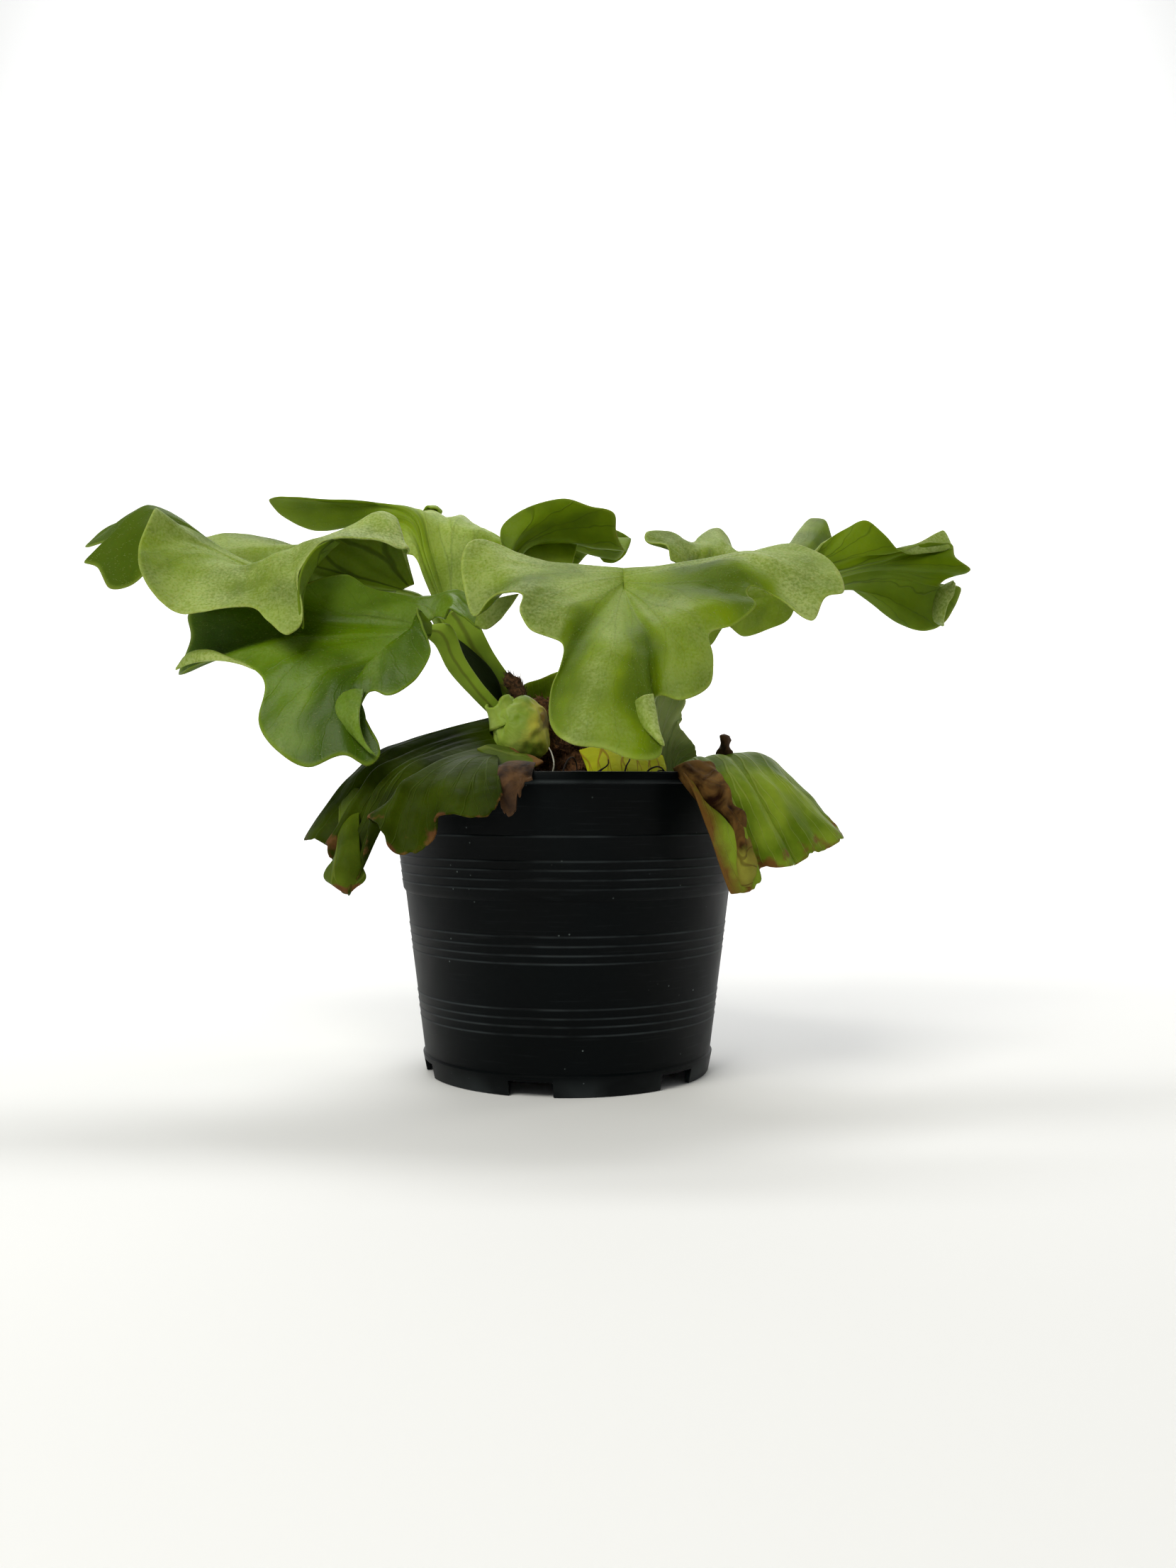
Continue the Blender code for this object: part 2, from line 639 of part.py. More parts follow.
def make_shield_left(leaf):
    """The pleated sheet that comes from the crown's left and droops over the rim."""
    veins = [
        [(-30, 0, 127.5), (-51.5, -12, 119), (-71.5, -26, 111), (-96, -38, 81)],
        [(-29, -6, 124.5), (-49, -20, 115.5), (-68, -38, 106.5), (-87.5, -50, 80)],
        [(-28.5, -10, 121), (-46.5, -26, 113.5), (-65.5, -46, 102.5), (-83.5, -58, 64)],
        [(-28.5, -14, 118.5), (-45, -32, 112), (-61.5, -52, 101.5), (-77, -64, 61.5)],
        [(-28, -18, 116.5), (-42.5, -38, 111), (-57.5, -58, 100.5), (-73, -66, 89.5)],
        [(-27.5, -22, 115), (-40, -44, 110.5), (-54, -63, 100), (-62, -74, 76)],
        [(-26.5, -26, 113.5), (-37.5, -48, 110), (-47.5, -67, 99.5), (-48.5, -76, 81)],
        [(-26, -30, 112.5), (-34, -52, 109.5), (-41, -69, 100), (-46.5, -76, 90)],
        [(-25.5, -34, 111.5), (-29.5, -56, 109), (-32, -71, 100.5), (-29, -78, 89.5)],
        [(-25, -38, 110.5), (-25, -60, 108.5), (-24.5, -72, 102.5), (-23.5, -76, 97.5)],
    ]
    return make_shield("shield_left", veins, leaf)


def make_shield_right(leaf):
    """The ribbed sheet that droops over the rim on the right."""
    veins = [
        [(38, -31, 102.5), (39.5, -50, 107.5), (44.5, -62, 100), (58.5, -60, 61.5)],
        [(39.5, -29, 102.5), (44.5, -44, 110), (52, -60, 100), (66.5, -58, 63)],
        [(41, -27, 102.5), (49.5, -38, 111), (58.5, -56, 100), (70.5, -56, 70)],
        [(42.5, -24, 102.5), (54.5, -32, 111.5), (65, -50, 100), (80.5, -54, 71.5)],
        [(44, -20, 102.5), (59.5, -26, 112), (70.5, -44, 100.5), (88, -48, 75.5)],
        [(45, -16, 102.5), (65, -18, 112.5), (76, -36, 101.5), (96, -42, 79)],
        [(47, -9, 102.5), (68.5, -8, 112), (80, -24, 102.5), (100, -34, 83)],
        [(48, 0, 102.5), (70, 4, 111.5), (81, -10, 103), (91.5, -20, 92)],
    ]
    return make_shield("shield_right", veins, leaf)


def make_shield_yellow(leaf):
    """The old shield that leans on the mix behind the front rim."""
    veins = [
        [(4, -30, 114), (3.5, -40, 109.5), (3.5, -50, 102)],
        [(10, -31, 115), (10, -42, 110), (10, -54, 101.5)],
        [(17, -31, 115.5), (17, -43, 110.5), (18, -55, 101.5)],
        [(24, -30, 115), (25, -42, 110.5), (26, -53, 101.5)],
        [(30, -29, 113.5), (31, -40, 109.5), (31.5, -49, 101.5)],
        [(34, -28, 111.5), (35, -37, 107.5), (35.5, -45, 102)],
    ]
    return make_shield("shield_yellow", veins, leaf, (3, 3))


def make_shield_right_back(leaf):
    """The small lobed shield that stands behind on the right."""
    veins = [
        [(30, -13, 101), (24, -14, 112), (17, -13, 118)],
        [(31, -13, 101), (26, -14, 116), (20, -12, 127)],
        [(32, -13, 101), (29, -14, 118), (28, -11, 133.5)],
        [(33, -13, 101), (32, -14, 118), (34, -11, 133)],
        [(34, -13, 101), (34.5, -14, 118), (42.5, -12, 131)],
        [(35, -13, 101), (35.5, -14, 116), (41, -13, 127.5)],
        [(36, -13, 101), (36.5, -14, 115), (40, -14, 123.5)],
        [(37, -12, 101), (38, -13, 113), (42.5, -14, 119.5)],
        [(38, -12, 101), (39.5, -13, 110.5), (46, -13, 115)],
        [(39, -12, 101), (41, -12, 108), (47, -11, 110.5)],
    ]
    return make_shield("shield_right_back", veins, leaf, (3, 3))


def make_shield_back(leaf):
    """The small light shield that stands behind the crown."""
    veins = [
        [(-12, 24, 101), (-20, 22, 118), (-17, 19, 129)],
        [(-8, 25, 101), (-14, 23, 122), (-16, 19, 137)],
        [(-4, 26, 101), (-8, 24, 124), (-10, 20, 139.5)],
        [(0, 26, 101), (-1, 25, 125), (-4, 21, 142)],
        [(4, 26, 101), (6, 25, 125), (5, 22, 143)],
        [(8, 25, 101), (13, 24, 124), (14, 21, 140)],
        [(12, 24, 101), (20, 22, 120), (22, 19, 132)],
    ]
    return make_shield("shield_back", veins, leaf, (3, 3))


def make_dead_scrap(dry):
    """The dry brown scrap of old shield that hangs over the rim on the left."""
    veins = [
        [(-23, -56, 107), (-22.8, -65, 107), (-23, -70, 101), (-24.5, -71, 93)],
        [(-20.5, -56, 107.6), (-20.3, -65, 107.3), (-20.5, -70, 101.5), (-20.5, -71, 89.5)],
        [(-18, -55, 107), (-18, -65, 107), (-18.2, -69.5, 102.5), (-17.5, -70.5, 96)],
        [(-15.5, -56, 107.3), (-15.3, -64, 107.2), (-15.5, -68.5, 104.5), (-15.5, -69.5, 102.5)],
        [(-12.5, -57, 106.8), (-12.6, -63, 106.9), (-12.8, -67, 105.6), (-12.8, -68.5, 104.5)],
    ]
    return make_shield("dead_scrap", veins, dry, (2, 3, 3))


def make_roots(soil, earth):
    """Thin roots that arch out of the mix behind the front rim, fused to it."""
    routes = [
        [(-6, -52, 99), (-6, -52, 104), (-4.5, -52, 109), (-5.5, -51, 113)],
        [(12, -56, 99), (12, -56, 104), (13.5, -56.5, 107), (14, -56.5, 109)],
        [(20, -55.5, 99), (20.5, -55.5, 105), (22, -55, 108), (22.5, -55, 110)],
        [(27, -53.2, 99), (28.5, -52.6, 106), (31, -51, 107), (33, -49.5, 105), (34, -48.5, 99)],
    ]
    for number, route in enumerate(routes):
        path = [(*p, ROOT_RADIUS) for p in route]
        combine(soil, add_object("root_%d" % number, tube(path, 5, 0.0), earth), "UNION")


def make_dead_stub_crown(dry):
    path = [
        (-14, 4, 125, 2.4),
        (-16.5, 3, 131, 2.4),
        (-19, 2, 136, 2.7),
        (-21, 1.5, 140, 2.0),
        (-21.5, 1.5, 141.5, 0.8),
    ]
    return add_object("dead_stub_crown", tube(path, 8, 0.15), dry)


def make_dead_stub_right(dry):
    path = [
        (53.5, -26, 111.2, 2.2),
        (53.6, -26, 113, 2.5),
        (54, -26, 115, 1.7),
        (54.6, -26, 117, 1.9),
        (55, -26, 118, 1.0),
    ]
    return add_object("dead_stub_right", tube(path, 8, 0.15), dry)


def main():
    clear_scene()
    plastic = material("black_plastic", (0.012, 0.014, 0.015), 0.45)
    earth = material("potting_mix", (0.03, 0.018, 0.01), 0.95)
    bark = material("rhizome_bark", (0.14, 0.06, 0.025), 0.9)
    dry = material("dead_leaf", (0.12, 0.055, 0.03), 0.85)
    light_leaf = material("bloomed_leaf", (0.20, 0.32, 0.10), 0.6)
    dark_leaf = material("glossy_leaf", (0.10, 0.22, 0.03), 0.45)
    shield_leaf = material("shield_leaf", (0.12, 0.22, 0.04), 0.55)
    yellow_leaf = material("yellow_leaf", (0.45, 0.48, 0.06), 0.6)
    make_pot(plastic)
    soil = make_soil(earth)
    make_roots(soil, earth)
    rhizome = make_rhizome(bark)
    make_room(soil, rhizome)
    young = make_shield_young(shield_leaf)
    make_room(young, rhizome)
    upper_stalk = make_frond_left_upper(light_leaf)
    lower_stalk = make_frond_left_lower(dark_leaf)
    centre_stalk = make_frond_centre_back(light_leaf)
    front_stalk = make_frond_front(light_leaf)
    right_stalk = make_frond_right(dark_leaf)
    stub = make_dead_stub_crown(dry)
    make_room(young, lower_stalk)
    for stem in (upper_stalk, lower_stalk, centre_stalk, front_stalk, right_stalk, stub):
        make_room(rhizome, stem)
    make_shield_left(shield_leaf)
    drooping = make_shield_right(shield_leaf)
    for shield in (drooping, make_shield_yellow(yellow_leaf), make_shield_right_back(shield_leaf)):
        make_room(soil, shield)
    make_room(soil, make_shield_back(light_leaf))
    make_dead_scrap(dry)
    make_room(make_dead_stub_right(dry), drooping)


main()
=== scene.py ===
"""A staghorn fern in its black nursery pot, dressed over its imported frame.

Metres, +Z up, +Y away from the viewer. The origin is the middle of the pot's foot.
"""

import math
import random

import bmesh
import bpy
from mathutils import Matrix, Vector, noise


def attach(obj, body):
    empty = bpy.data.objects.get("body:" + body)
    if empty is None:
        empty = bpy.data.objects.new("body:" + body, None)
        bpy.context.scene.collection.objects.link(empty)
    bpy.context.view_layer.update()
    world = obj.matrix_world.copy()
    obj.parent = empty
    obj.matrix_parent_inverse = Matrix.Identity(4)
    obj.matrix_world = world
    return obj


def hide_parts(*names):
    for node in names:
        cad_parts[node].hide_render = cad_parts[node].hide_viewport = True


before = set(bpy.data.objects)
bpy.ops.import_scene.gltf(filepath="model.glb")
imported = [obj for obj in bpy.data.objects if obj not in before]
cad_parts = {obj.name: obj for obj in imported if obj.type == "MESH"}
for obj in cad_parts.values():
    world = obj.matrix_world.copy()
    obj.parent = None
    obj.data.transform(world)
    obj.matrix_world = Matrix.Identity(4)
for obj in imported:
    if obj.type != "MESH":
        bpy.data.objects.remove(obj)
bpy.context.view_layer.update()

# The pot: a thin nursery pot, injection-moulded in black polypropylene. It has groups of shallow moulded
# rings round its wall, a plain band at the rim and drain notches in its foot. Dust and scuffs lie on it.
# Sizes are in millimetres, here and in the sections below, and MM turns them to metres.
MM = 0.001
POT_HEIGHT = 105.4
RIM_RADIUS = 63.5
FOOT_RADIUS = 50.8
FOOT_HEIGHT = 7.0
FLOOR_LIFT = 3.5
PAD_RADIUS = 9.0
WALL = 1.6
LIP_OUT = 1.5
BAND_HEIGHT = 3.8
STEP_HEIGHT = 64.0
STEP_IN = 0.7
RING_HEIGHTS = (84.8, 76.8, 73.9, 70.8, 67.8, 52.5, 49.4, 46.4, 43.7, 28.8, 25.8, 23.1, 20.2)
RING_OUT = 0.14
NOTCH_WIDTH = 15.0
NOTCH_HEIGHT = 5.0
NOTCH_DEPTH = 12.0
NOTCH_COUNT = 6
NOTCH_FIRST = -103.0
POT_SIDES = 160
MERGE = 0.00001
RGBA = {"data_type": "RGBA"}
MULTIPLY = {"operation": "MULTIPLY"}
SUBTRACT = {"operation": "SUBTRACT"}
ABSOLUTE = {"operation": "ABSOLUTE"}
MAXIMUM = {"operation": "MAXIMUM"}


def linear(code):
    """An sRGB hex colour as the linear colour that a shader takes."""
    parts = [int(code[i : i + 2], 16) / 255 for i in (1, 3, 5)]
    return (*[c / 12.92 if c <= 0.04045 else ((c + 0.055) / 1.055) ** 2.4 for c in parts], 1.0)


def add(tree, kind, settings=None, out=0, **sockets):
    """Adds a node and gives one of its outputs. A socket, i0, i1 or a name, takes a value or an output."""
    node = tree.nodes.new("ShaderNode" + kind)
    for name, value in (settings or {}).items():
        setattr(node, name, value)
    for name, value in sockets.items():
        key = int(name[1:]) if name[0] == "i" and name[1:].isdigit() else name.replace("_", " ")
        if isinstance(value, bpy.types.NodeSocket):
            tree.links.new(value, node.inputs[key])
        else:
            node.inputs[key].default_value = value
    return node.outputs[out] if node.outputs else None


def every(size):
    """The scale of a pattern whose marks lie so many millimetres apart."""
    return 1 / (size * MM)


def blank_material(name):
    """A material with an empty tree, and the tree to fill."""
    mat = bpy.data.materials.new(name)
    mat.use_nodes = True
    tree = mat.node_tree
    tree.nodes.clear()
    return mat, tree


def shade(tree, colour, roughness, **values):
    """Ends a material with its shader, fed by the pattern's colour, roughness and what else it is given."""
    shader = add(tree, "BsdfPrincipled", Base_Color=colour, Roughness=roughness, **values)
    add(tree, "OutputMaterial", Surface=shader)


def put(name, bm, materials, soft_angle=60):
    """Turns the bmesh into a piece that rides with the pot, smooth up to the soft angle in degrees."""
    mesh = bpy.data.meshes.new(name)
    bm.to_mesh(mesh)
    bm.free()
    for mat in materials:
        mesh.materials.append(mat)
    mesh.shade_smooth()
    mesh.set_sharp_from_angle(angle=math.radians(soft_angle))
    piece = bpy.data.objects.new(name, mesh)
    bpy.context.scene.collection.objects.link(piece)
    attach(piece, "root")
    return piece


def settle(piece):
    """Applies the piece's modifiers to its mesh."""
    graph = bpy.context.evaluated_depsgraph_get()
    shaped = bpy.data.meshes.new_from_object(piece.evaluated_get(graph))
    piece.modifiers.clear()
    piece.data = shaped


def black_polypropylene():
    """Moulded black polypropylene: half matt, a little blue, with dust in specks and fine level scuffs."""
    mat, tree = blank_material("black_polypropylene")
    place = add(tree, "TexCoord", out="Object")
    cloud = add(tree, "TexNoise", Vector=place, Scale=every(26.3), Detail=3.0)
    base = add(tree, "Mix", RGBA, out=2, i0=cloud, i6=linear("#020303"), i7=linear("#050b0d"))
    # Dust specks up to 0.7 mm across lie some 4 mm apart, thicker in some places.
    grit = add(tree, "TexVoronoi", out="Distance", Vector=place, Scale=every(3.85))
    speck = add(tree, "MapRange", i0=grit, i1=0.05, i2=0.09, i3=1.0, i4=0.0)
    where = add(tree, "TexNoise", Vector=place, Scale=every(14.3), Detail=2.0)
    dusty = add(tree, "MapRange", i0=where, i1=0.52, i2=0.68)
    speck = add(tree, "Math", MULTIPLY, i0=speck, i1=dusty)
    base = add(tree, "Mix", RGBA, out=2, i0=speck, i6=base, i7=linear("#5d6664"))
    # Level scuffs, drawn out round the pot, from sliding it in and out of others.
    flat = add(tree, "Mapping", Vector=place, Scale=(every(16.7), every(16.7), every(0.667)))
    scuff = add(tree, "TexNoise", Vector=flat, Scale=1.0, Detail=4.0)
    scuffed = add(tree, "MapRange", i0=scuff, i1=0.6, i2=0.8, i3=0.0, i4=0.25)
    # The lower edge of the band is pale: partly rubbed, and partly a painted highlight along the lip.
    height = add(tree, "SeparateXYZ", out="Z", i0=place)
    pale_edge_height = (POT_HEIGHT - BAND_HEIGHT + 0.4) * MM
    edge = add(tree, "Math", SUBTRACT, i0=height, i1=pale_edge_height)
    edge = add(tree, "Math", ABSOLUTE, i0=edge)
    edge = add(tree, "MapRange", i0=edge, i1=0.2 * MM, i2=0.9 * MM, i3=1.0, i4=0.0)
    highlight_patches = add(tree, "MapRange", i0=cloud, i1=0.4, i2=0.6, i3=0.15, i4=1.0)
    edge = add(tree, "Math", MULTIPLY, i0=edge, i1=highlight_patches)
    wear_and_highlight = add(tree, "Math", MAXIMUM, i0=edge, i1=scuffed)
    # The crests of the rings get a painted highlight, in patches.
    crest = add(tree, "Attribute", {"attribute_name": "crest"}, out="Fac")
    crest = add(tree, "Math", MULTIPLY, i0=crest, i1=highlight_patches)
    wear_and_highlight = add(tree, "Math", MAXIMUM, i0=wear_and_highlight, i1=crest)
    # The scuffs are wear. The pale band edge is partly painted highlight, and the ring crests are all
    # painted highlight.
    base = add(tree, "Mix", RGBA, out=2, i0=wear_and_highlight, i6=base, i7=linear("#2d3233"))
    rough = add(tree, "MapRange", i0=cloud, i1=0.3, i2=0.7, i3=0.38, i4=0.52)
    grain = add(tree, "TexNoise", Vector=place, Scale=every(0.455), Detail=2.0)
    bump = add(tree, "Bump", Strength=0.12, Distance=0.1 * MM, Height=grain)
    shade(tree, base, rough, Normal=bump, IOR=1.49, Specular_IOR_Level=0.07)
    return mat


def wall_radius(height):
    """The pot's outer radius at a height, a little less under the step."""
    taper = (RIM_RADIUS - FOOT_RADIUS) / POT_HEIGHT
    return FOOT_RADIUS + taper * height - (STEP_IN if height < STEP_HEIGHT else 0)


outline = [
    (0, 0),
    (PAD_RADIUS, 0),
    (PAD_RADIUS, FLOOR_LIFT),
    (FOOT_RADIUS - 2.4, FLOOR_LIFT),
    (FOOT_RADIUS - 2.0, 0),
    (FOOT_RADIUS - 0.6, 0),
    (FOOT_RADIUS - 0.4, 0.3),
    (wall_radius(FOOT_HEIGHT) + STEP_IN, FOOT_HEIGHT - 0.3),
    (wall_radius(FOOT_HEIGHT) + 0.4, FOOT_HEIGHT),
    (wall_radius(FOOT_HEIGHT), FOOT_HEIGHT + 0.3),
]
for ring in sorted([*RING_HEIGHTS, STEP_HEIGHT]):
    if ring == STEP_HEIGHT:
        outline += [
            (wall_radius(ring - 0.2), ring - 0.2),
            (wall_radius(ring - 0.2) + 0.2, ring),
            (wall_radius(ring + 1.0), ring + 1.0),
        ]
        continue
    outline += [
        (wall_radius(ring), ring - 0.5),
        (wall_radius(ring) + RING_OUT, ring - 0.15),
        (wall_radius(ring) + RING_OUT, ring + 0.1),
        (wall_radius(ring), ring + 0.4),
    ]
band = POT_HEIGHT - BAND_HEIGHT
outline += [
    (wall_radius(band), band - 0.2),
    (RIM_RADIUS + LIP_OUT - 0.3, band),
    (RIM_RADIUS + LIP_OUT, band + 0.3),
    (RIM_RADIUS + LIP_OUT, POT_HEIGHT - 0.5),
    (RIM_RADIUS + LIP_OUT - 0.2, POT_HEIGHT - 0.15),
    (RIM_RADIUS + LIP_OUT - 0.6, POT_HEIGHT),
    (RIM_RADIUS - WALL + 0.4, POT_HEIGHT),
    (RIM_RADIUS - WALL, POT_HEIGHT - 0.5),
    (wall_radius(FLOOR_LIFT + WALL) - WALL, FLOOR_LIFT + WALL),
    (0, FLOOR_LIFT + WALL),
]


def turned(profile, sides):
    """A closed shape turned round Z from a closed outline of (radius, height) in millimetres."""
    bm = bmesh.new()
    verts = [bm.verts.new((radius * MM, 0, height * MM)) for radius, height in profile]
    edges = [bm.edges.new(pair) for pair in zip(verts, verts[1:])]
    bmesh.ops.spin(
        bm, geom=verts + edges, cent=(0, 0, 0), axis=(0, 0, 1), angle=math.tau, steps=sides, use_merge=True
    )
    bmesh.ops.remove_doubles(bm, verts=bm.verts, dist=MERGE)
    bmesh.ops.recalc_face_normals(bm, faces=bm.faces)
    return bm


plastic = black_polypropylene()
pot = put("nursery_pot", turned(outline, POT_SIDES), [plastic], soft_angle=30)
for number in range(NOTCH_COUNT):
    bm = bmesh.new()
    bmesh.ops.create_cube(bm, size=1.0)
    bmesh.ops.scale(bm, vec=Vector((NOTCH_DEPTH, NOTCH_WIDTH, 2 * NOTCH_HEIGHT)) * MM, verts=bm.verts)
    bmesh.ops.translate(bm, vec=Vector((FOOT_RADIUS - 1, 0, 0)) * MM, verts=bm.verts)
    turn = Matrix.Rotation(math.radians(NOTCH_FIRST + 360 * number / NOTCH_COUNT), 3, "Z")
    bmesh.ops.rotate(bm, cent=(0, 0, 0), matrix=turn, verts=bm.verts)
    mesh = bpy.data.meshes.new("notch")
    bm.to_mesh(mesh)
    bm.free()
    notch = bpy.data.objects.new("notch", mesh)
    bpy.context.scene.collection.objects.link(notch)
    cut = pot.modifiers.new("notch", "BOOLEAN")
    cut.operation = "DIFFERENCE"
    cut.object = notch
    settle(pot)
    bpy.data.objects.remove(notch)
# The crests of the rings are marked for the plastic, which paints a pale highlight on them.
crest = pot.data.attributes.new("crest", "FLOAT", "POINT")
for vert in pot.data.vertices:
    out = math.hypot(vert.co.x, vert.co.y) / MM - wall_radius(vert.co.z / MM)
    crest.data[vert.index].value = 1.0 if RING_OUT / 2 < out < 2 * RING_OUT else 0.0
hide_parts("pot")

# The potting mix: peat and chips of fir bark, mounded round the crown.
# A turned mound carries the form, and loose chips of bark lie on it.
SOIL_LEVEL = 101.0
SOIL_MOUND = 5.0
MOUND_SPREAD = 26.0
MIX_GAP = 0.6
MIX_RADIUS = RIM_RADIUS - WALL - MIX_GAP
MIX_RINGS = 22
MIX_SIDES = 96
CHIP_COUNT = 620
ADD = {"operation": "ADD"}


def mix_height(x, y):
    """Height of the mix in millimetres, mounded round the crown."""
    away = ((x + 4) ** 2 + (y - 4) ** 2) / MOUND_SPREAD**2
    lumps = 0.5 * math.sin(x * 0.55) * math.cos(y * 0.47) + 0.35 * math.sin(y * 1.1 + x * 0.3)
    return SOIL_LEVEL + SOIL_MOUND * math.exp(-away) + lumps


def crumbly(name, dark, light, grain_size):
    """A broken stuff such as peat or bark: dull, its colour and surface broken up at the grain's size."""
    mat, tree = blank_material(name)
    place = add(tree, "TexCoord", out="Object")
    grain = add(tree, "TexNoise", Vector=place, Scale=every(grain_size), Detail=5.0)
    patch = add(tree, "TexNoise", Vector=place, Scale=every(8 * grain_size), Detail=2.0)
    both = add(tree, "Math", ADD, i0=grain, i1=patch)
    tone = add(tree, "MapRange", i0=both, i1=0.8, i2=1.3)
    colour = add(tree, "Mix", RGBA, out=2, i0=tone, i6=linear(dark), i7=linear(light))
    bump = add(tree, "Bump", Strength=0.8, Distance=grain_size / 2 * MM, Height=grain)
    shade(tree, colour, 0.92, Normal=bump)
    return mat


# Peat: nearly black and crumbly, as when it is damp. Fir bark: of a finer grain, redder and lighter.
peat = crumbly("damp_peat", "#0d0806", "#2c1d14", 1.2)
bark_chip = crumbly("fir_bark_chips", "#1c110b", "#4d3423", 0.9)
bottom = FLOOR_LIFT + WALL + 0.3
outline = [(0, bottom), (FOOT_RADIUS - 2.6, bottom)]
outline += [(MIX_RADIUS * (MIX_RINGS - i) / MIX_RINGS, SOIL_LEVEL) for i in range(MIX_RINGS + 1)]
bm = turned(outline, MIX_SIDES)
for vert in bm.verts:
    if vert.co.z > 0.5 * SOIL_LEVEL * MM:
        rough = noise.noise(vert.co * 260) * 0.9 + noise.noise(vert.co * 700) * 0.5
        vert.co.z = (mix_height(vert.co.x / MM, vert.co.y / MM) + rough - 0.4) * MM
mix = put("potting_mix", bm, [peat])
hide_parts("soil")


def strewn(name, shape, placings, material, soft_angle=30):
    """One piece made of many copies of a small shape, one for each placing."""
    single = bpy.data.meshes.new(name)
    shape.to_mesh(single)
    shape.free()
    corners = [c for v in single.vertices for c in v.co]
    bm = bmesh.new()
    for placing in placings:
        single.vertices.foreach_set("co", corners)
        single.transform(placing)
        bm.from_mesh(single)
    bpy.data.meshes.remove(single)
    put(name, bm, [material], soft_angle)


luck = random.Random(7)
chip = bmesh.new()
bmesh.ops.create_icosphere(chip, subdivisions=1, radius=1.0)
for vert in chip.verts:
    vert.co *= 1 + luck.uniform(-0.3, 0.3)
placings = []
for number in range(CHIP_COUNT):
    away = MIX_RADIUS * 0.97 * math.sqrt(luck.random())
    around = luck.uniform(0, math.tau)
    x = away * math.cos(around)
    y = away * math.sin(around)
    spot = Vector((x, y, mix_height(x, y) + luck.uniform(-0.6, 0.5))) * MM
    long = luck.uniform(0.7, 2.6) * luck.uniform(0.6, 1.2)
    lie = Matrix.Rotation(luck.uniform(0, math.tau), 3, "Z")
    lie = lie @ Matrix.Rotation(luck.uniform(-0.7, 0.7), 3, "Y")
    size = Vector((long, long * luck.uniform(0.3, 0.7), long * 0.35)) * MM
    placings.append(Matrix.LocRotScale(spot, lie, size))
strewn("bark_chips", chip, placings, bark_chip, soft_angle=20)

# The roots: wiry dark feeding roots and one white young root, raised from the mix behind the front rim.
# Each is a thin round thread that arches out of the mix. Its points are (across, depth, up), as seen.
EYE_DISTANCE = 485.0
EYE_SIDE = 7.3
EYE_HEIGHT = 101.4
DARK_ROOTS = [
    [(11, -55.5, 100), (10, -55.5, 104), (12.2, -56, 106.5), (14.5, -56, 108.5), (14.6, -55, 110.2)],
    [(20, -55, 100), (20.2, -55, 103), (21, -54, 107.5), (22.4, -52, 110.5), (22.2, -50, 113)],
    [(26, -53, 100), (28, -53, 105), (31, -52, 107.4), (34, -50, 107), (35.4, -48, 103), (36, -47, 100)],
    [(-4, -54, 101), (0, -54, 105.2), (5, -54.5, 106), (10, -55, 105.6), (12.5, -55.5, 107)],
    [(38, -44, 101), (36, -46, 105), (33.5, -48.5, 106.3), (31, -51, 105)],
    [(-10, -55, 102), (-12.5, -55, 106.4), (-15, -55.5, 107), (-17.5, -55, 105), (-18, -54, 102)],
    [(-2, -50, 102), (-1, -50, 108), (1.5, -49, 111), (3, -47, 109), (3.2, -45, 104)],
]
WHITE_ROOTS = [
    [(-7, -52, 100), (-6, -52.5, 104), (-5, -52.5, 108), (-5.8, -51.5, 112.5), (-6.8, -50, 114.5)],
]
ROOT_THICKNESS = 0.7


def seen(across, depth, up):
    """The place that looks to be at across and up in the plane of the pot's axis, at this depth."""
    stretch = 1 + depth / EYE_DISTANCE
    x = EYE_SIDE + (across - EYE_SIDE) * stretch
    z = EYE_HEIGHT + (up - EYE_HEIGHT) * stretch
    return Vector((x, depth, z)) * MM


def placed(lines):
    """Lines of seen points as lines of places."""
    return [[seen(*p) for p in line] for line in lines]


def threads(name, routes, thickness, material):
    """Round threads along routes of points in metres, each half as thick at its end as at its start."""
    curve = bpy.data.curves.new(name, "CURVE")
    curve.dimensions = "3D"
    curve.bevel_depth = thickness / 2
    curve.bevel_resolution = 2
    curve.resolution_u = 6
    curve.use_fill_caps = True
    for route in routes:
        spline = curve.splines.new("BEZIER")
        spline.bezier_points.add(len(route) - 1)
        for number, (knot, point) in enumerate(zip(spline.bezier_points, route)):
            knot.co = point
            knot.handle_left_type = "AUTO"
            knot.handle_right_type = "AUTO"
            knot.radius = 1.0 - 0.5 * number / (len(route) - 1)
    drawn = bpy.data.objects.new(name, curve)
    bpy.context.scene.collection.objects.link(drawn)
    graph = bpy.context.evaluated_depsgraph_get()
    bm = bmesh.new()
    bm.from_mesh(bpy.data.meshes.new_from_object(drawn.evaluated_get(graph)))
    bpy.data.objects.remove(drawn)
    put(name, bm, [material])


# Roots: dark wiry skin, and the chalky white one of a young root.
dark_root = crumbly("dark_root_skin", "#120b07", "#33221a", 0.6)
white_root = crumbly("white_root_skin", "#8e8a7c", "#cfccc0", 0.6)
threads("dark_roots", placed(DARK_ROOTS), ROOT_THICKNESS * MM, dark_root)
threads("white_root", placed(WHITE_ROOTS), ROOT_THICKNESS * MM, white_root)

# The rhizome: the creeping stem that every frond grows from, covered in narrow papery scales of a rusty
# brown. A lumpy stem is drawn along its route, and the scales are stuck on it, pointing to its tip.
RHIZOME_ROUTE = [
    (3.5, 6, 88, 8.2), (3.2, 6, 94, 8.8), (3, 6, 99, 9.5), (2, 6, 106, 11), (-3, 6, 114, 11.5),
    (-9, 7, 122, 9.5), (-12.5, 7, 127, 8), (-14.2, 7, 129.5, 6), (-15.2, 7, 131, 3),
]
SCALE_COUNT = 1500
SCALE_LENGTH = 3.2
SCALE_WIDTH = 0.7
LOOK_AHEAD = 0.02
TINY = 0.00001


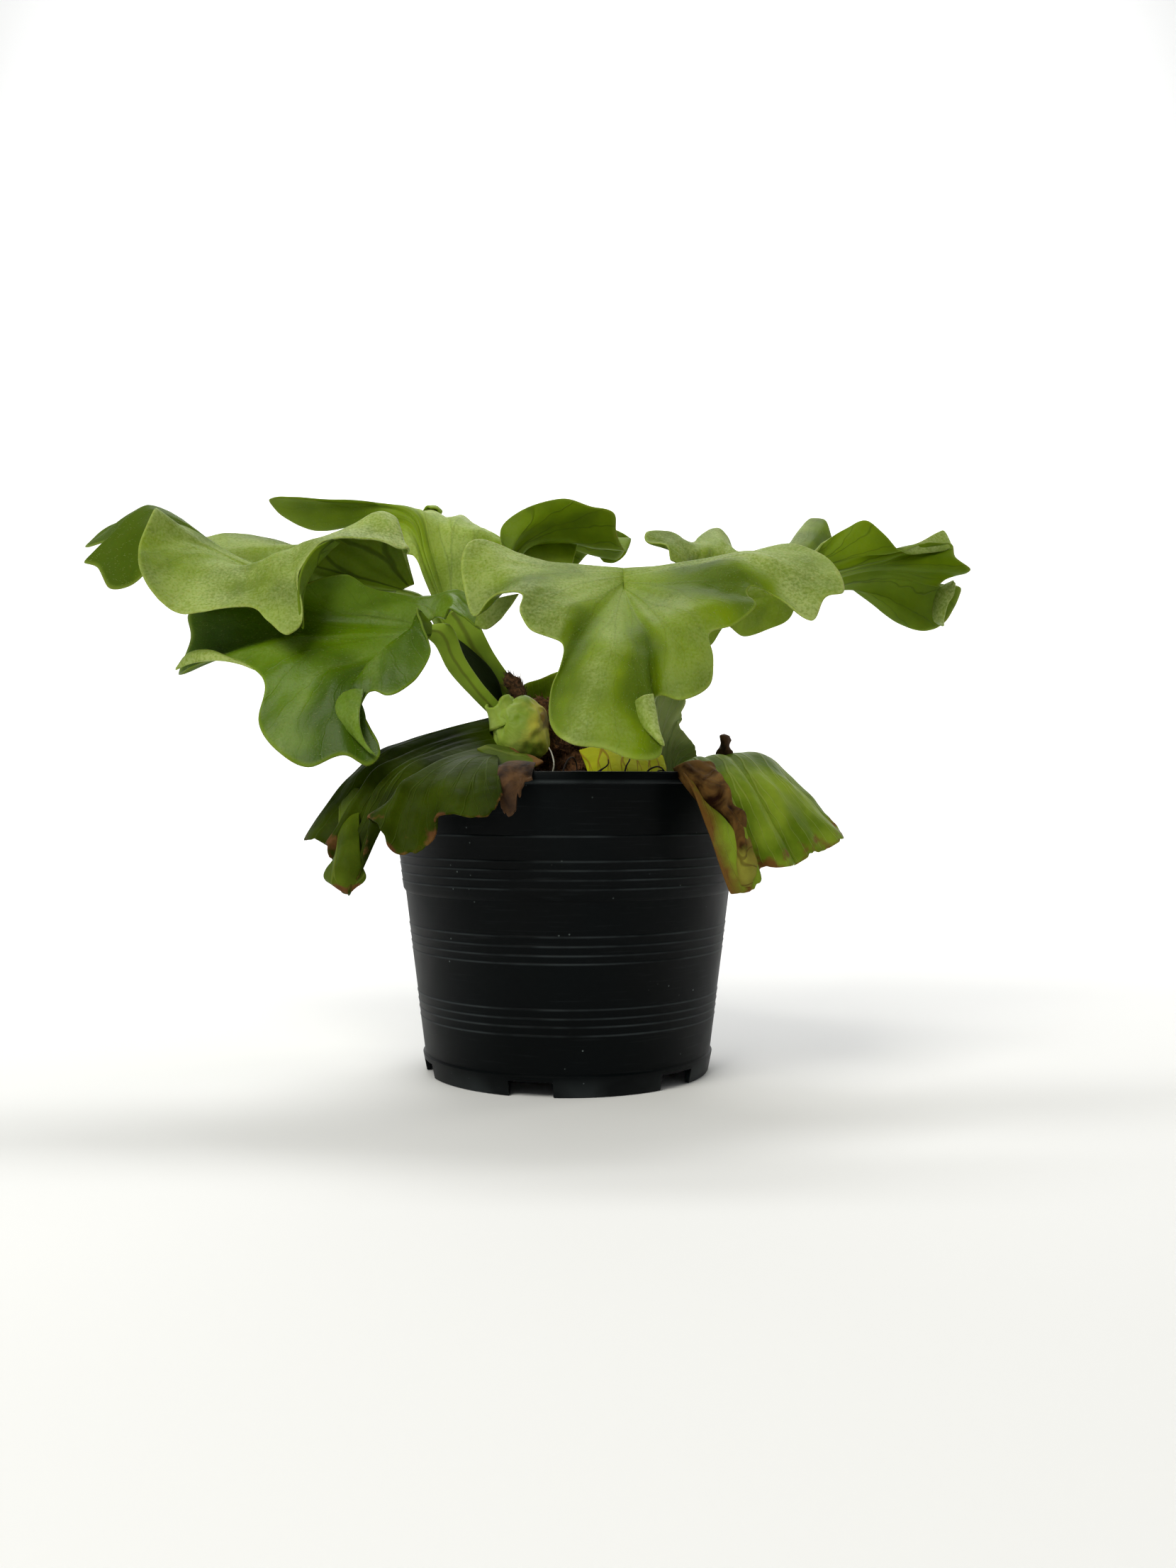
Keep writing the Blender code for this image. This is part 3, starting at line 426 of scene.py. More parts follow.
def smooth(points, where):
    """A point on the smooth curve through the points, with where from 0 to 1.

    Each piece bends with the square root of its length, so that short pieces beside long ones don't loop.
    """
    last = len(points) - 1
    at = min(int(where * last), last - 1)
    t = where * last - at
    p1 = points[at]
    p2 = points[at + 1]
    p0 = points[at - 1] if at > 0 else p1 * 2 - p2
    p3 = points[at + 2] if at + 2 <= last else p2 * 2 - p1
    k0 = max((p1 - p0).length, TINY) ** 0.5
    k1 = max((p2 - p1).length, TINY) ** 0.5
    k2 = max((p3 - p2).length, TINY) ** 0.5
    leave = (p2 - p1) + ((p1 - p0) / k0 - (p2 - p0) / (k0 + k1)) * k1
    arrive = (p2 - p1) + ((p3 - p2) / k2 - (p3 - p1) / (k1 + k2)) * k1
    bend = (p2 - p1) * 3 - leave * 2 - arrive
    curl = leave + arrive - (p2 - p1) * 2
    return p1 + leave * t + bend * t * t + curl * t * t * t


def between(values, where):
    """The value at where, from 0 to 1, between the nearest two of evenly spaced values."""
    spot = where * (len(values) - 1)
    at = min(int(spot), len(values) - 2)
    return values[at] + (values[at + 1] - values[at]) * (spot - at)


def sweep(bm, points, steps, sides, shape):
    """Builds a closed rod along the smooth curve through the points, bridged from ring to ring.

    For a vertex of a round ring of radius 1, shape gives its place. It is told the share of the way, the
    ring's middle and the way ahead.
    """
    before = None
    for i in range(steps + 1):
        where = i / steps
        centre = smooth(points, where)
        ahead = smooth(points, min(1.0, where + LOOK_AHEAD)) - smooth(points, max(0.0, where - LOOK_AHEAD))
        ring = bmesh.ops.create_circle(bm, segments=sides, radius=1.0, cap_ends=i in (0, steps))["verts"]
        for vert in ring:
            vert.co = shape(vert, where, centre, ahead)
        edges = list({e for v in ring for e in v.link_edges})
        if before:
            bmesh.ops.bridge_loops(bm, edges=before + edges)
        before = edges
    bmesh.ops.recalc_face_normals(bm, faces=bm.faces)


def rod(route, sides, steps, lump):
    """A lumpy rod along (x, y, z, radius) in millimetres, with so many steps from point to point."""
    radii = [p[3] for p in route]

    def shape(vert, where, centre, ahead):
        out = ahead.to_track_quat("Z", "Y") @ vert.co * between(radii, where)
        return (centre + out * (1 + lump * noise.noise((centre + out) * 0.28))) * MM

    bm = bmesh.new()
    sweep(bm, [Vector(p[:3]) for p in route], steps * (len(route) - 1), sides, shape)
    return bm


# Rhizome: a dark rusty felt. Its scales: papery, drier and lighter.
rust = crumbly("rusty_rhizome_skin", "#38200f", "#8a5c38", 1.1)
scale_skin = crumbly("papery_rhizome_scales", "#4a2a18", "#a06f45", 1.5)
rhizome = put("rhizome_stem", rod(RHIZOME_ROUTE, sides=40, steps=8, lump=0.35), [rust])
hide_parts("rhizome")


def spots_on(piece, count, seed, only=None):
    """Random places on the piece, or on its material of that number only, each with its normal."""
    graph = bpy.context.evaluated_depsgraph_get()
    mesh = piece.evaluated_get(graph).to_mesh()
    mesh.calc_loop_triangles()
    chosen = [t for t in mesh.loop_triangles if only is None or t.material_index == only]
    luck = random.Random(seed)
    found = []
    for tri in luck.choices(chosen, weights=[t.area for t in chosen], k=count):
        a, b, c = (mesh.vertices[v].co for v in tri.vertices)
        one = luck.random() ** 0.5
        two = luck.random()
        found.append((a * (1 - one) + b * (one * (1 - two)) + c * (one * two), tri.normal.copy()))
    return found


def slivers(name, places, length, width, lift, heading, material, seed):
    """Small three-sided slivers, such as hairs and scales, near a surface and pointing about one way."""
    luck = random.Random(seed)
    placings = []
    for place, normal in places:
        flat = heading - normal * heading.dot(normal)
        flat = flat.normalized() if flat.length > 0.1 else normal.orthogonal()
        turned_by = Matrix.Rotation(luck.gauss(0, 0.5), 3, normal)
        point = (turned_by @ flat + normal * lift * luck.uniform(0.4, 1.6)).normalized()
        long = length * luck.uniform(0.5, 1.3)
        middle = place + point * long * 0.45
        size = Vector((width, width, long))
        placings.append(Matrix.LocRotScale(middle, point.to_track_quat("Z", "Y"), size))
    sliver = bmesh.new()
    bmesh.ops.create_cone(sliver, cap_ends=True, segments=3, radius1=0.5, radius2=0.08, depth=1.0)
    strewn(name, sliver, placings, material)


slivers(
    "rhizome_scales", spots_on(rhizome, count=SCALE_COUNT, seed=3), length=SCALE_LENGTH * MM,
    width=SCALE_WIDTH * MM, lift=0.35, heading=Vector((-0.5, -0.2, 0.8)), material=scale_skin,
    seed=4,
)

# The fertile fronds, five of them: leathery straps that widen from a flattened stalk into a waved, antlered
# blade. The upper side wears a pale felt of fine starry hairs. The underside is darker, with forked veins.
# The leaf's own map holds the vein's number across and the share of the way out.
BLADE = 0.9
HEAD_THICKNESS = 2.2
STALK = 4.2
STALK_SIDES = 28
FINE = 6
BLADE_ROWS = (4, 4, 10)
FORK_SPAN = 4.0
FORKS_FROM = 0.12
STALK_STEPS = 6
BLADE_RIPPLE = 0.8
FLAP_RIPPLE = 0.3
HAIR_LENGTH = 0.7
HAIR_WIDTH = 0.1
RIB_OUT = 0.22
RIB_WIDE = 0.16
EDGE_SHARE = 0.72
SOFT_STEP = {"interpolation_type": "SMOOTHSTEP"}


def forked_veins(tree, wander):
    """A mask of veins that fork twice on the way out, then the way out, the place and the vein's number."""
    flat = add(tree, "UVMap", {"uv_map": "veins"})
    vein = add(tree, "SeparateXYZ", out="X", i0=flat)
    out = add(tree, "SeparateXYZ", out="Y", i0=flat)
    place = add(tree, "TexCoord", out="Object")
    drift = add(tree, "TexNoise", Vector=place, Scale=every(8.33), Detail=1.0)
    drift = add(tree, "MapRange", i0=drift, i1=0.2, i2=0.8, i3=-wander, i4=wander)
    across = add(tree, "Math", ADD, i0=vein, i1=drift)
    away = add(tree, "Math", {"operation": "PINGPONG"}, i0=across, i1=FORK_SPAN / 2)
    for start, end, spread in ((FORKS_FROM, 0.6, FORK_SPAN / 4), (0.45, 1.0, FORK_SPAN / 8)):
        apart = add(tree, "MapRange", SOFT_STEP, i0=out, i1=start, i2=end, i3=0.0, i4=spread)
        away = add(tree, "Math", SUBTRACT, i0=away, i1=apart)
        away = add(tree, "Math", ABSOLUTE, i0=away)
    # A vein is 0.7 mm wide at the stalk and 0.3 mm at the margin, where the map's lines lie further apart.
    wide = add(tree, "MapRange", i0=out, i1=0.0, i2=0.8, i3=0.5, i4=0.055)
    near = add(tree, "Math", {"operation": "DIVIDE"}, i0=away, i1=wide)
    mask = add(tree, "MapRange", SOFT_STEP, i0=near, i1=0.2, i2=1.0, i3=1.0, i4=0.0)
    return mask, out, place, vein


def leaf_side(
    name, base, deep, margin, vein, vein_strength, bloom, bloom_strength, roughness=0.5, gloss=0.12,
    ridge=0.5,
):
    """One side of a living frond: green in soft patches, with forked veins, a paler margin and a felt."""
    mat, tree = blank_material(name)
    veins, out, place = forked_veins(tree, 0.25)[:3]
    # Felt map: how much felt is left, from 0 to 1. Below 0, painted shade that deepens the bare green.
    cloud = add(tree, "TexNoise", Vector=place, Scale=every(23.8), Detail=3.0)
    tone = add(tree, "MapRange", i0=cloud, i1=0.28, i2=0.62)
    felt_and_shade_map = add(tree, "Attribute", {"attribute_name": "felt"}, out="Fac")
    # Young is 1 where no shade is painted, and 0 at -1, where the painted shade is full.
    young = add(tree, "MapRange", i0=felt_and_shade_map, i1=-1.0, i2=0.0)
    tone = add(tree, "Math", MULTIPLY, i0=tone, i1=young)
    colour = add(tree, "Mix", RGBA, out=2, i0=tone, i6=linear(deep), i7=linear(base))
    rim = add(tree, "MapRange", SOFT_STEP, i0=out, i1=0.975, i2=1.0, i3=0.0, i4=0.35)
    colour = add(tree, "Mix", RGBA, out=2, i0=rim, i6=colour, i7=linear(margin))
    # The felt: starry hairs some 0.5 mm across, thick in clouds and thin where they have been rubbed off.
    hair = add(tree, "TexNoise", Vector=place, Scale=every(0.91), Detail=3.0)
    thick = add(tree, "TexNoise", Vector=place, Scale=every(16.7), Detail=4.0)
    felt = add(tree, "Math", MULTIPLY, i0=hair, i1=thick)
    felt = add(tree, "MapRange", i0=felt, i1=0.15, i2=0.34, i3=0.25, i4=1.1)
    felt_and_shade_map = add(tree, "Math", MULTIPLY, i0=felt_and_shade_map, i1=bloom_strength)
    felt_and_shade_map = add(tree, "Math", MAXIMUM, i0=felt_and_shade_map, i1=0.0)
    felt = add(tree, "Math", MULTIPLY, i0=felt, i1=felt_and_shade_map)
    colour = add(tree, "Mix", RGBA, out=2, i0=felt, i6=colour, i7=linear(bloom))
    fade = add(tree, "MapRange", i0=out, i1=0.0, i2=1.0, i3=vein_strength, i4=vein_strength * 0.35)
    line = add(tree, "Math", MULTIPLY, i0=veins, i1=fade)
    colour = add(tree, "Mix", RGBA, out=2, i0=line, i6=colour, i7=linear(vein))
    raised = add(tree, "Math", MULTIPLY, i0=veins, i1=ridge)
    height = add(tree, "Math", ADD, i0=raised, i1=hair)
    bump = add(tree, "Bump", Strength=0.35, Distance=0.3 * MM, Height=height)
    shade(
        tree, colour, roughness, Normal=bump, Specular_IOR_Level=gloss, Subsurface_Weight=0.12,
        Subsurface_Scale=2 * MM,
    )
    return mat


# Frond with its felt on: fresh green under a pale mealy bloom, nearly matt.
bloomed = leaf_side(
    "felted_frond_upper_side", "#728a02", "#445a00", "#a3b84c", "#33450a", vein_strength=0.15,
    bloom="#c0ce84", bloom_strength=0.6, ridge=0.3,
)
# Frond with its felt rubbed off: deeper green, with the waxy gloss of its bare skin.
glossy = leaf_side(
    "rubbed_frond_upper_side", "#5c7a04", "#3a5400", "#8ea633", "#2b3b05", vein_strength=0.15,
    bloom="#a3b86a", bloom_strength=0.5, roughness=0.38, gloss=0.14,
)
# Thin frond: lighter and yellower, as if lit from behind, with clear veins.
back_side = leaf_side(
    "back_frond_upper_side", "#829c14", "#5a7206", "#5f7410", "#33450a", vein_strength=0.3,
    bloom="#b6c86f", bloom_strength=0.5, gloss=0.13, ridge=0.3,
)
# Underside: dull green, with raised dark veins and little felt.
under = leaf_side(
    "frond_underside", "#6d8604", "#4a6101", "#86993a", "#1d2a04", vein_strength=0.65, bloom="#8f9f6c",
    bloom_strength=0.15, gloss=0.06, ridge=1.5,
)
# Stalk: smooth green, with brown lines along it.
stalk_skin = leaf_side(
    "stalk_skin", "#86a030", "#556e12", "#86a030", "#3f3014", vein_strength=0.5, bloom="#aab58a",
    bloom_strength=0.15, roughness=0.45, gloss=0.1, ridge=0.8,
)
# Inside of a folded stalk: near black green, painted shade for the shadow in the fold between the stalks.
painted_shade_fold = leaf_side(
    "inside_of_folded_stalk_painted_shade", "#1c2808", "#0e1503", "#2c3c0c", "#0e1503", vein_strength=0.3,
    bloom="#1c2808", bloom_strength=0.0, roughness=0.6, gloss=0.02,
)
# Hairs of the felt: pale grey green and dull.
hair_felt = crumbly("pale_starry_hairs", "#7b8d3c", "#9dac70", 0.4)


def along(pairs, where):
    """The value at a place between the nearest two of the (place, value) pairs."""
    before = pairs[0]
    for pair in pairs:
        if pair[0] >= where:
            gap = max(pair[0] - before[0], TINY)
            share = min(1.0, max(0.0, (where - before[0]) / gap))
            return before[1] + (pair[1] - before[1]) * share
        before = pair
    return pairs[-1][1]


def grow_sheet(
    name, net, rows, thickness, materials, flip, ripple, seed, felt, creases=(), tear=0
):
    """A thin leaf on a control net, one list of points for each line across it, with a map of its veins.

    It has FINE columns of faces between two neighbouring points, and rows[i] rows between two lines. Each
    crease is (vein, width in veins, lift in millimetres). Felt is (vein, felt), where 0 to 1 is how much
    felt is left and 0 to -1 is painted shade, how far the bare green is darkened. Tear is the share torn
    back at the margin.
    Flip turns the leaf over, where its veins run round it the other way.
    """
    places = [(i + k / n) / len(rows) for i, n in enumerate(rows) for k in range(n)] + [1.0]
    veins = len(net[0]) - 1
    last = len(places) - 1
    bm = bmesh.new()
    bmesh.ops.create_grid(bm, x_segments=FINE * veins, y_segments=last, size=0.5)
    map_of_veins = bm.loops.layers.uv.new("veins")
    # The felt layer holds felt from 0 to 1 and painted shade below 0.
    felt_and_shade = bm.verts.layers.float.new("felt")
    lines = {}
    flats = {}
    for vert in bm.verts:
        column = round((vert.co.x + 0.5) * FINE * veins)
        if column not in lines:
            lines[column] = [smooth(line, column / (FINE * veins)) for line in net]
        row = round((vert.co.y + 0.5) * last)
        vein = column / FINE
        torn = noise.noise(Vector((vein * 0.7, seed, 0))) + 0.5 * noise.noise(Vector((vein * 2.6, 0, seed)))
        torn = tear * max(0.0, torn)
        place = places[row] * (1 - torn * places[row] ** 3)
        flats[vert] = (vein, place)
        vert.co = smooth(lines[column], place)
        spread = min(1.0, place * 1.5)
        wander = 1.2 * noise.noise(vert.co * 70 + Vector((0, 0, seed)))
        vert[felt_and_shade] = spread * along(felt, vein + wander) + (1 - spread) * 0.4
    for face in bm.faces:
        for loop in face.loops:
            loop[map_of_veins].uv = flats[loop.vert]
    bm.normal_update()
    upwards = -1 if flip else 1
    for vert in bm.verts:
        vein, place = flats[vert]
        waves = noise.noise(vert.co * 95 + Vector((seed, 0, 0))) + 0.5 * noise.noise(vert.co * 260)
        lift = ripple * waves
        for middle, width, height in creases:
            lift += upwards * height * math.exp(-(((vein - middle) / width) ** 2))
        vert.co += vert.normal * lift * min(1.0, place * 1.4) ** 2 * MM
    if flip:
        bmesh.ops.reverse_faces(bm, faces=bm.faces)
    leaf = put(name, bm, materials)
    skin = leaf.modifiers.new("skin", "SOLIDIFY")
    skin.thickness = thickness * MM
    skin.offset = 0.0
    skin.material_offset = len(materials) - 1
    round_off = leaf.modifiers.new("round_off", "SUBSURF")
    round_off.levels = 1
    round_off.render_levels = 1
    settle(leaf)
    return leaf


def grow_stalk(name, stalk, side):
    """The frond's stalk: a strap with a rib down its middle, that flattens and ends inside the blade."""
    side = Vector(side).normalized()
    widths = [p[3] for p in stalk]
    bm = bmesh.new()
    map_of_veins = bm.loops.layers.uv.new("veins")
    mapped = {}

    def shape(vert, where, centre, ahead):
        angle = math.atan2(vert.co.y, vert.co.x)
        flat = ahead.normalized().cross(side).normalized()
        rib = 1 + RIB_OUT * math.exp(-((math.cos(angle) / RIB_WIDE) ** 2))
        wing = EDGE_SHARE + (1 - EDGE_SHARE) * abs(math.sin(angle))
        depth = STALK + (HEAD_THICKNESS - STALK) * where
        mapped[vert] = (FORK_SPAN / 2 * math.cos(angle) + 2 * FORK_SPAN, FORKS_FROM * where)
        across = side * math.cos(angle) * between(widths, where) / 2
        return centre + (across + flat * math.sin(angle) * wing * rib * depth / 2) * MM

    sweep(bm, [seen(*p[:3]) for p in stalk], STALK_STEPS * (len(stalk) - 1), STALK_SIDES, shape)
    for face in bm.faces:
        for loop in face.loops:
            loop[map_of_veins].uv = mapped[loop.vert]
    put(name, bm, [stalk_skin])


def grow_frond(name, stalk, side, fan, veins, sag, upper, flip, hairs, creases, felt):
    """A frond in three pieces: its stalk, its blade and the hairs on the blade's upper side.

    The stalk's points are (across, depth, up, width), and side is the way its width runs. The fan is the
    line on the stalk's head where the veins start. Each vein has two points, in the blade and on its
    margin. Sag is how far the blade hangs through over its first 100 mm.
    """
    inner = [seen(*vein[0]) for vein in veins]
    steps = [0.0] + [(q - p).length for p, q in zip(inner, inner[1:])]
    total = sum(steps)
    line = [seen(*p) for p in fan]
    starts = [smooth(line, min(1.0, sum(steps[: i + 1]) / total)) for i in range(len(veins))]
    middle = []
    for start, point in zip(starts, inner):
        drop = sag * ((point - start).length / 0.1) ** 2
        middle.append(start.lerp(point, 0.65) - Vector((0, 0, drop * MM)))
    net = [starts, middle, inner, [seen(*vein[1]) for vein in veins]]
    blade = grow_sheet(
        name + "_blade", net, BLADE_ROWS, BLADE, [upper, under], flip=flip, ripple=BLADE_RIPPLE,
        seed=len(veins), creases=creases, felt=felt,
    )
    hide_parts(name)
    grow_stalk(name + "_stalk", stalk, side)
    head = seen(*stalk[-1][:3])
    tip = sum(net[3], Vector()) / len(veins)
    slivers(
        name + "_hairs", spots_on(blade, count=hairs, seed=len(veins), only=0), length=HAIR_LENGTH * MM,
        width=HAIR_WIDTH * MM, lift=0.2, heading=(tip - head).normalized(), material=hair_felt,
        seed=5,
    )


def grow_flap(name, lines, skin, seed, felt_and_shade=1.0):
    """A turned-over bit of a frond's margin, on lines of (across, depth, up) from its foot to its edge."""
    rows = [4] * (len(lines) - 1)
    grow_sheet(
        name, placed(lines), rows, BLADE, [skin], flip=False, ripple=FLAP_RIPPLE, seed=seed,
        felt=((0, felt_and_shade),),
    )


# The upper left frond: pale with bloom, its tip twisted over and a flap behind.
STALK_ROUTE = [
    (-18, 5, 122, 4.5), (-26, 4, 130, 5), (-35.5, 3, 143, 5.5), (-45, 3, 157, 6.5), (-53, 5, 168, 9),
    (-62, 4.6, 171, 6),
]
VEINS = [
    [(-60, -5, 187), (-58, -12, 184)],
    [(-60.5, -5, 192.5), (-57.5, -15, 186)],
    [(-62.5, -5, 197), (-61, -17, 186.5)],
    [(-67, -4, 199), (-66.5, -18, 188.5)],
    [(-74.5, -4, 195), (-75, -19, 189.5)],
    [(-83, -6, 191), (-84.5, -21, 189.5)],
    [(-89.5, -10, 189.5), (-91.5, -26, 186)],
    [(-94.5, -12, 188), (-97, -31, 176)],
    [(-99.5, -14, 185.5), (-95.5, -38, 158.5)],
    [(-103, -15, 184), (-101, -40, 154)],
    [(-106.5, -15, 183), (-107.5, -38, 159.5)],
    [(-111.5, -13, 182), (-113.5, -34, 166)],
    [(-119, -12, 181), (-128, -33, 165.5)],
    [(-125.5, -12, 181.5), (-140, -33, 163.5)],
    [(-130, -11, 182.5), (-148, -32, 168.5)],
    [(-133.5, -10, 185), (-154.5, -28, 179)],
    [(-136, -8, 188), (-154.5, -22, 187.5)],
    [(-138.5, -6, 192), (-149, -12, 200.5)],
    [(-142, -2, 194.5), (-150.5, -6, 187)],
    [(-144.5, 1, 195), (-153, 0, 176)],
    [(-146.5, 2, 198), (-165, 4, 171.5)],
    [(-148.5, 3, 200), (-170, 5, 179.5)],
    [(-150, 5, 202), (-175.5, 7, 182)],
    [(-150.5, 8, 202.5), (-165, 12, 189)],
    [(-148, 12, 200.5), (-174.5, 24, 187)],
    [(-144.5, 14, 196), (-161, 27, 195.5)],
    [(-141, 15, 192), (-149, 23, 189)],
    [(-137, 15.5, 188.5), (-140, 27, 187.5)],
    [(-132, 16, 187), (-134, 31, 189.5)],
    [(-125.5, 16, 185.5), (-123.5, 34, 191.5)],
    [(-110, 16, 186.5), (-105, 32, 189)],
    [(-92, 14, 187), (-88.5, 24, 182)],
    [(-71.5, 11, 179), (-78, 17, 177.5)],
]
FAN = [
    (-55.2, 3, 173.2), (-59.2, 2.5, 171.3), (-60.6, 4.6, 170.3), (-60.4, 6.6, 170.2), (-59.3, 7, 171.8),
]
CREASES = [(9, 1.2, 1.2), (12, 1.4, -1.6), (17.5, 1.0, 1.0), (22, 1.2, -1.5)]
# Felt left along the veins. Below 0 it is painted shade, on the tip that twists over.
FELT_AND_SHADE = [
    (0, 0.9), (4, 1.0), (7, 0.8), (9, 0.5), (12, 0.75), (15, 0.3), (17, 0.6), (18, -0.4), (19, -1),
    (24, -0.8), (25, 0.1), (27, 0.4), (32, 0.6),
]
grow_frond(
    "frond_left_upper", STALK_ROUTE, (0.3, -0.95, 0), FAN, VEINS, sag=9.0, upper=bloomed,
    flip=False, hairs=2600, creases=CREASES, felt=FELT_AND_SHADE,
)
FLAP = [
    [(-84.6, -21.5, 189.8), (-91.3, -26.5, 186), (-96, -30.5, 178.5), (-97.2, -33.5, 170), (-96, -38, 158)],
    [
        (-83.4, -19, 189.2), (-89.6, -23.5, 184.8), (-94.4, -28, 178), (-96.1, -32, 169.8),
        (-95.7, -37, 157.5),
    ],
    [(-82, -16, 188.8), (-87.6, -20, 183.3), (-92.4, -24.5, 177), (-95.2, -30, 169.5), (-95.5, -36, 157)],
]
grow_flap("frond_left_upper_curl", FLAP, under, seed=2)

# The lower left frond: most of its felt is rubbed off, so it is glossier and darker. One lobe hangs down.
STALK_ROUTE = [
    (-21, -7, 122, 4.5), (-26.5, -8, 128.5, 5.5), (-33, -9, 135.5, 6), (-40, -10, 144.5, 7.5),
    (-46, -12, 156, 9), (-54, -13, 156.8, 6),
]
VEINS = [
    [(-43, -18, 164.5), (-36, -20, 161)],
    [(-41, -15, 166.5), (-31.5, -18, 157)],
    [(-42, -11, 168.5), (-33, -13, 164)],
    [(-45.5, -8, 169.5), (-38, -9, 171)],
    [(-51, -7, 168.5), (-48, -6, 169.5)],
    [(-56, -6.5, 167.5), (-58, -5.5, 169)],
    [(-65.5, -9.5, 165.5), (-72, -11, 172.5)],
    [(-71.5, -11, 165), (-79.5, -12.5, 177)],
    [(-79.5, -12, 164.5), (-89.5, -12.5, 175.5)],
    [(-88.5, -12, 164), (-101, -10, 170.5)],
    [(-96, -12.5, 163), (-120, -2, 166.5)],
    [(-101, -14, 161), (-137.5, 0, 163.5)],
    [(-103, -17, 158.5), (-137.5, -4, 155.5)],
    [(-103.5, -20, 156), (-141.5, -14, 142)],
    [(-102, -22, 154.5), (-135.5, -20, 144.5)],
    [(-100, -24, 153), (-123.5, -26, 146)],
    [(-96, -28, 150.5), (-112.5, -33, 141.5)],
    [(-92.5, -31, 147.5), (-109, -38, 136.5)],
    [(-89.5, -34, 144), (-111.5, -44, 123.5)],
    [(-86.5, -36, 141.5), (-105.5, -50, 113.5)],
    [(-83.5, -39, 139), (-93, -53, 106.5)],
    [(-81.5, -40, 137.5), (-81, -54, 111.5)],
    [(-79.5, -40.8, 136.5), (-72, -54, 107.5)],
    [(-77.5, -40.5, 137.5), (-67.5, -53, 112.5)],
    [(-75.3, -39.2, 140), (-74.5, -46, 127)],
    [(-72.3, -37.5, 144), (-72, -43.5, 134)],
    [(-68.5, -36, 147.5), (-69.5, -44, 134.5)],
    [(-64.5, -34, 150.5), (-64, -46, 132.5)],
    [(-59.5, -32, 153.5), (-54, -42, 138.5)],
    [(-56, -30, 157), (-49, -37, 148.5)],
    [(-54.5, -27, 161), (-52, -33, 157.5)],
    [(-53.5, -22, 164), (-54.5, -28, 165)],
]
FAN = [
    (-44.3, -15.3, 160.7), (-47.5, -9.9, 161.2), (-50.9, -10, 158.8), (-51.8, -11.1, 157.5),
    (-52, -12.7, 156.2), (-51.6, -14, 155.1), (-50.4, -15.6, 154), (-49.2, -17, 155),
    (-49, -16.1, 159.2),
]
CREASES = [(12, 1.4, -2.5), (16.5, 1.4, 1.4), (20, 1.4, 1.0), (28, 1.4, 1.4)]
# Felt left along the veins. Below 0 it is painted shade, where the upper left frond shades it and low down.
FELT_AND_SHADE = [
    (0, 0.2), (6, 0.1), (9, 0.1), (10.5, -1), (14, -1), (15.2, 0.5), (17, -0.3), (19, 0.4),
    (20.2, -0.9), (23, -1), (25, 0.1), (26.5, 0.4), (28, -0.3), (30, -0.7),
]
grow_frond(
    "frond_left_lower", STALK_ROUTE, (-0.78, 0, -0.62), FAN, VEINS, sag=0.0, upper=glossy,
    flip=True, hairs=1600, creases=CREASES, felt=FELT_AND_SHADE,
)
FLAP = [
    [
        (-141.2, -14.5, 142.6), (-136.8, -18, 148.4), (-129.5, -22, 149.7), (-122, -26, 146.8),
        (-112.5, -32, 143.6),
    ],
    [
        (-141.2, -15, 142.5), (-136.6, -20.5, 146.8), (-128.5, -25, 148.2), (-120.5, -29, 146),
        (-112.4, -33, 142.8),
    ],
    [
        (-141.1, -15, 142.4), (-135.6, -20.5, 144.7), (-126.5, -26.5, 145.7), (-118.4, -30.5, 144.5),
        (-112.3, -33.5, 142.2),
    ],
]
grow_flap("frond_left_lower_rim", FLAP, bloomed, seed=4, felt_and_shade=0.8)
FLAP = [
    [
        (-80.9, -43, 134.3), (-83.5, -45, 131), (-83.5, -47, 127), (-80.5, -49, 122), (-76.5, -52, 118),
        (-71, -55, 112.5),
    ],
    [
        (-77, -45, 135.6), (-79, -49, 131.3), (-79, -51, 127), (-77.5, -52.5, 122), (-74.8, -54, 117),
        (-70, -55.5, 112),
    ],
    [
        (-73.3, -44, 135.6), (-74, -49, 132), (-75, -53, 127), (-74.6, -54, 121.5),
        (-72.8, -54.5, 116.5), (-69, -55.5, 111.5),
    ],
]
grow_flap("frond_left_lower_curl", FLAP, glossy, seed=5, felt_and_shade=0.5)
FLAP = [
    [(-33.7, -19, 158.6), (-33, -18.5, 161.5), (-30.6, -18, 167)],
    [(-29.3, -20.5, 156.9), (-27, -21, 163), (-24, -20, 168.8)],
    [(-24, -22, 161), (-20, -22, 166), (-17.3, -21, 170.2)],
]
grow_flap("frond_left_lower_strip", FLAP, bloomed, seed=12, felt_and_shade=0.5)
# A dark sheet in the fold between the stalks: painted shade, for the shadow there.
FLAP = [
    [(-45, -10, 156.5), (-40, -9, 147.5), (-34, -8, 138.5), (-27, -7, 130.5)],
    [(-44.5, -5, 156.5), (-36.5, -3, 147.5), (-30, -2, 138.5), (-25.5, -2, 131)],
    [(-43.4, 3, 156.5), (-32.6, 4, 148), (-25.3, 4, 139.5), (-23.6, 3, 132.5)],
]
grow_flap("frond_left_lower_fold_painted_shade", FLAP, painted_shade_fold, seed=13, felt_and_shade=0.0)

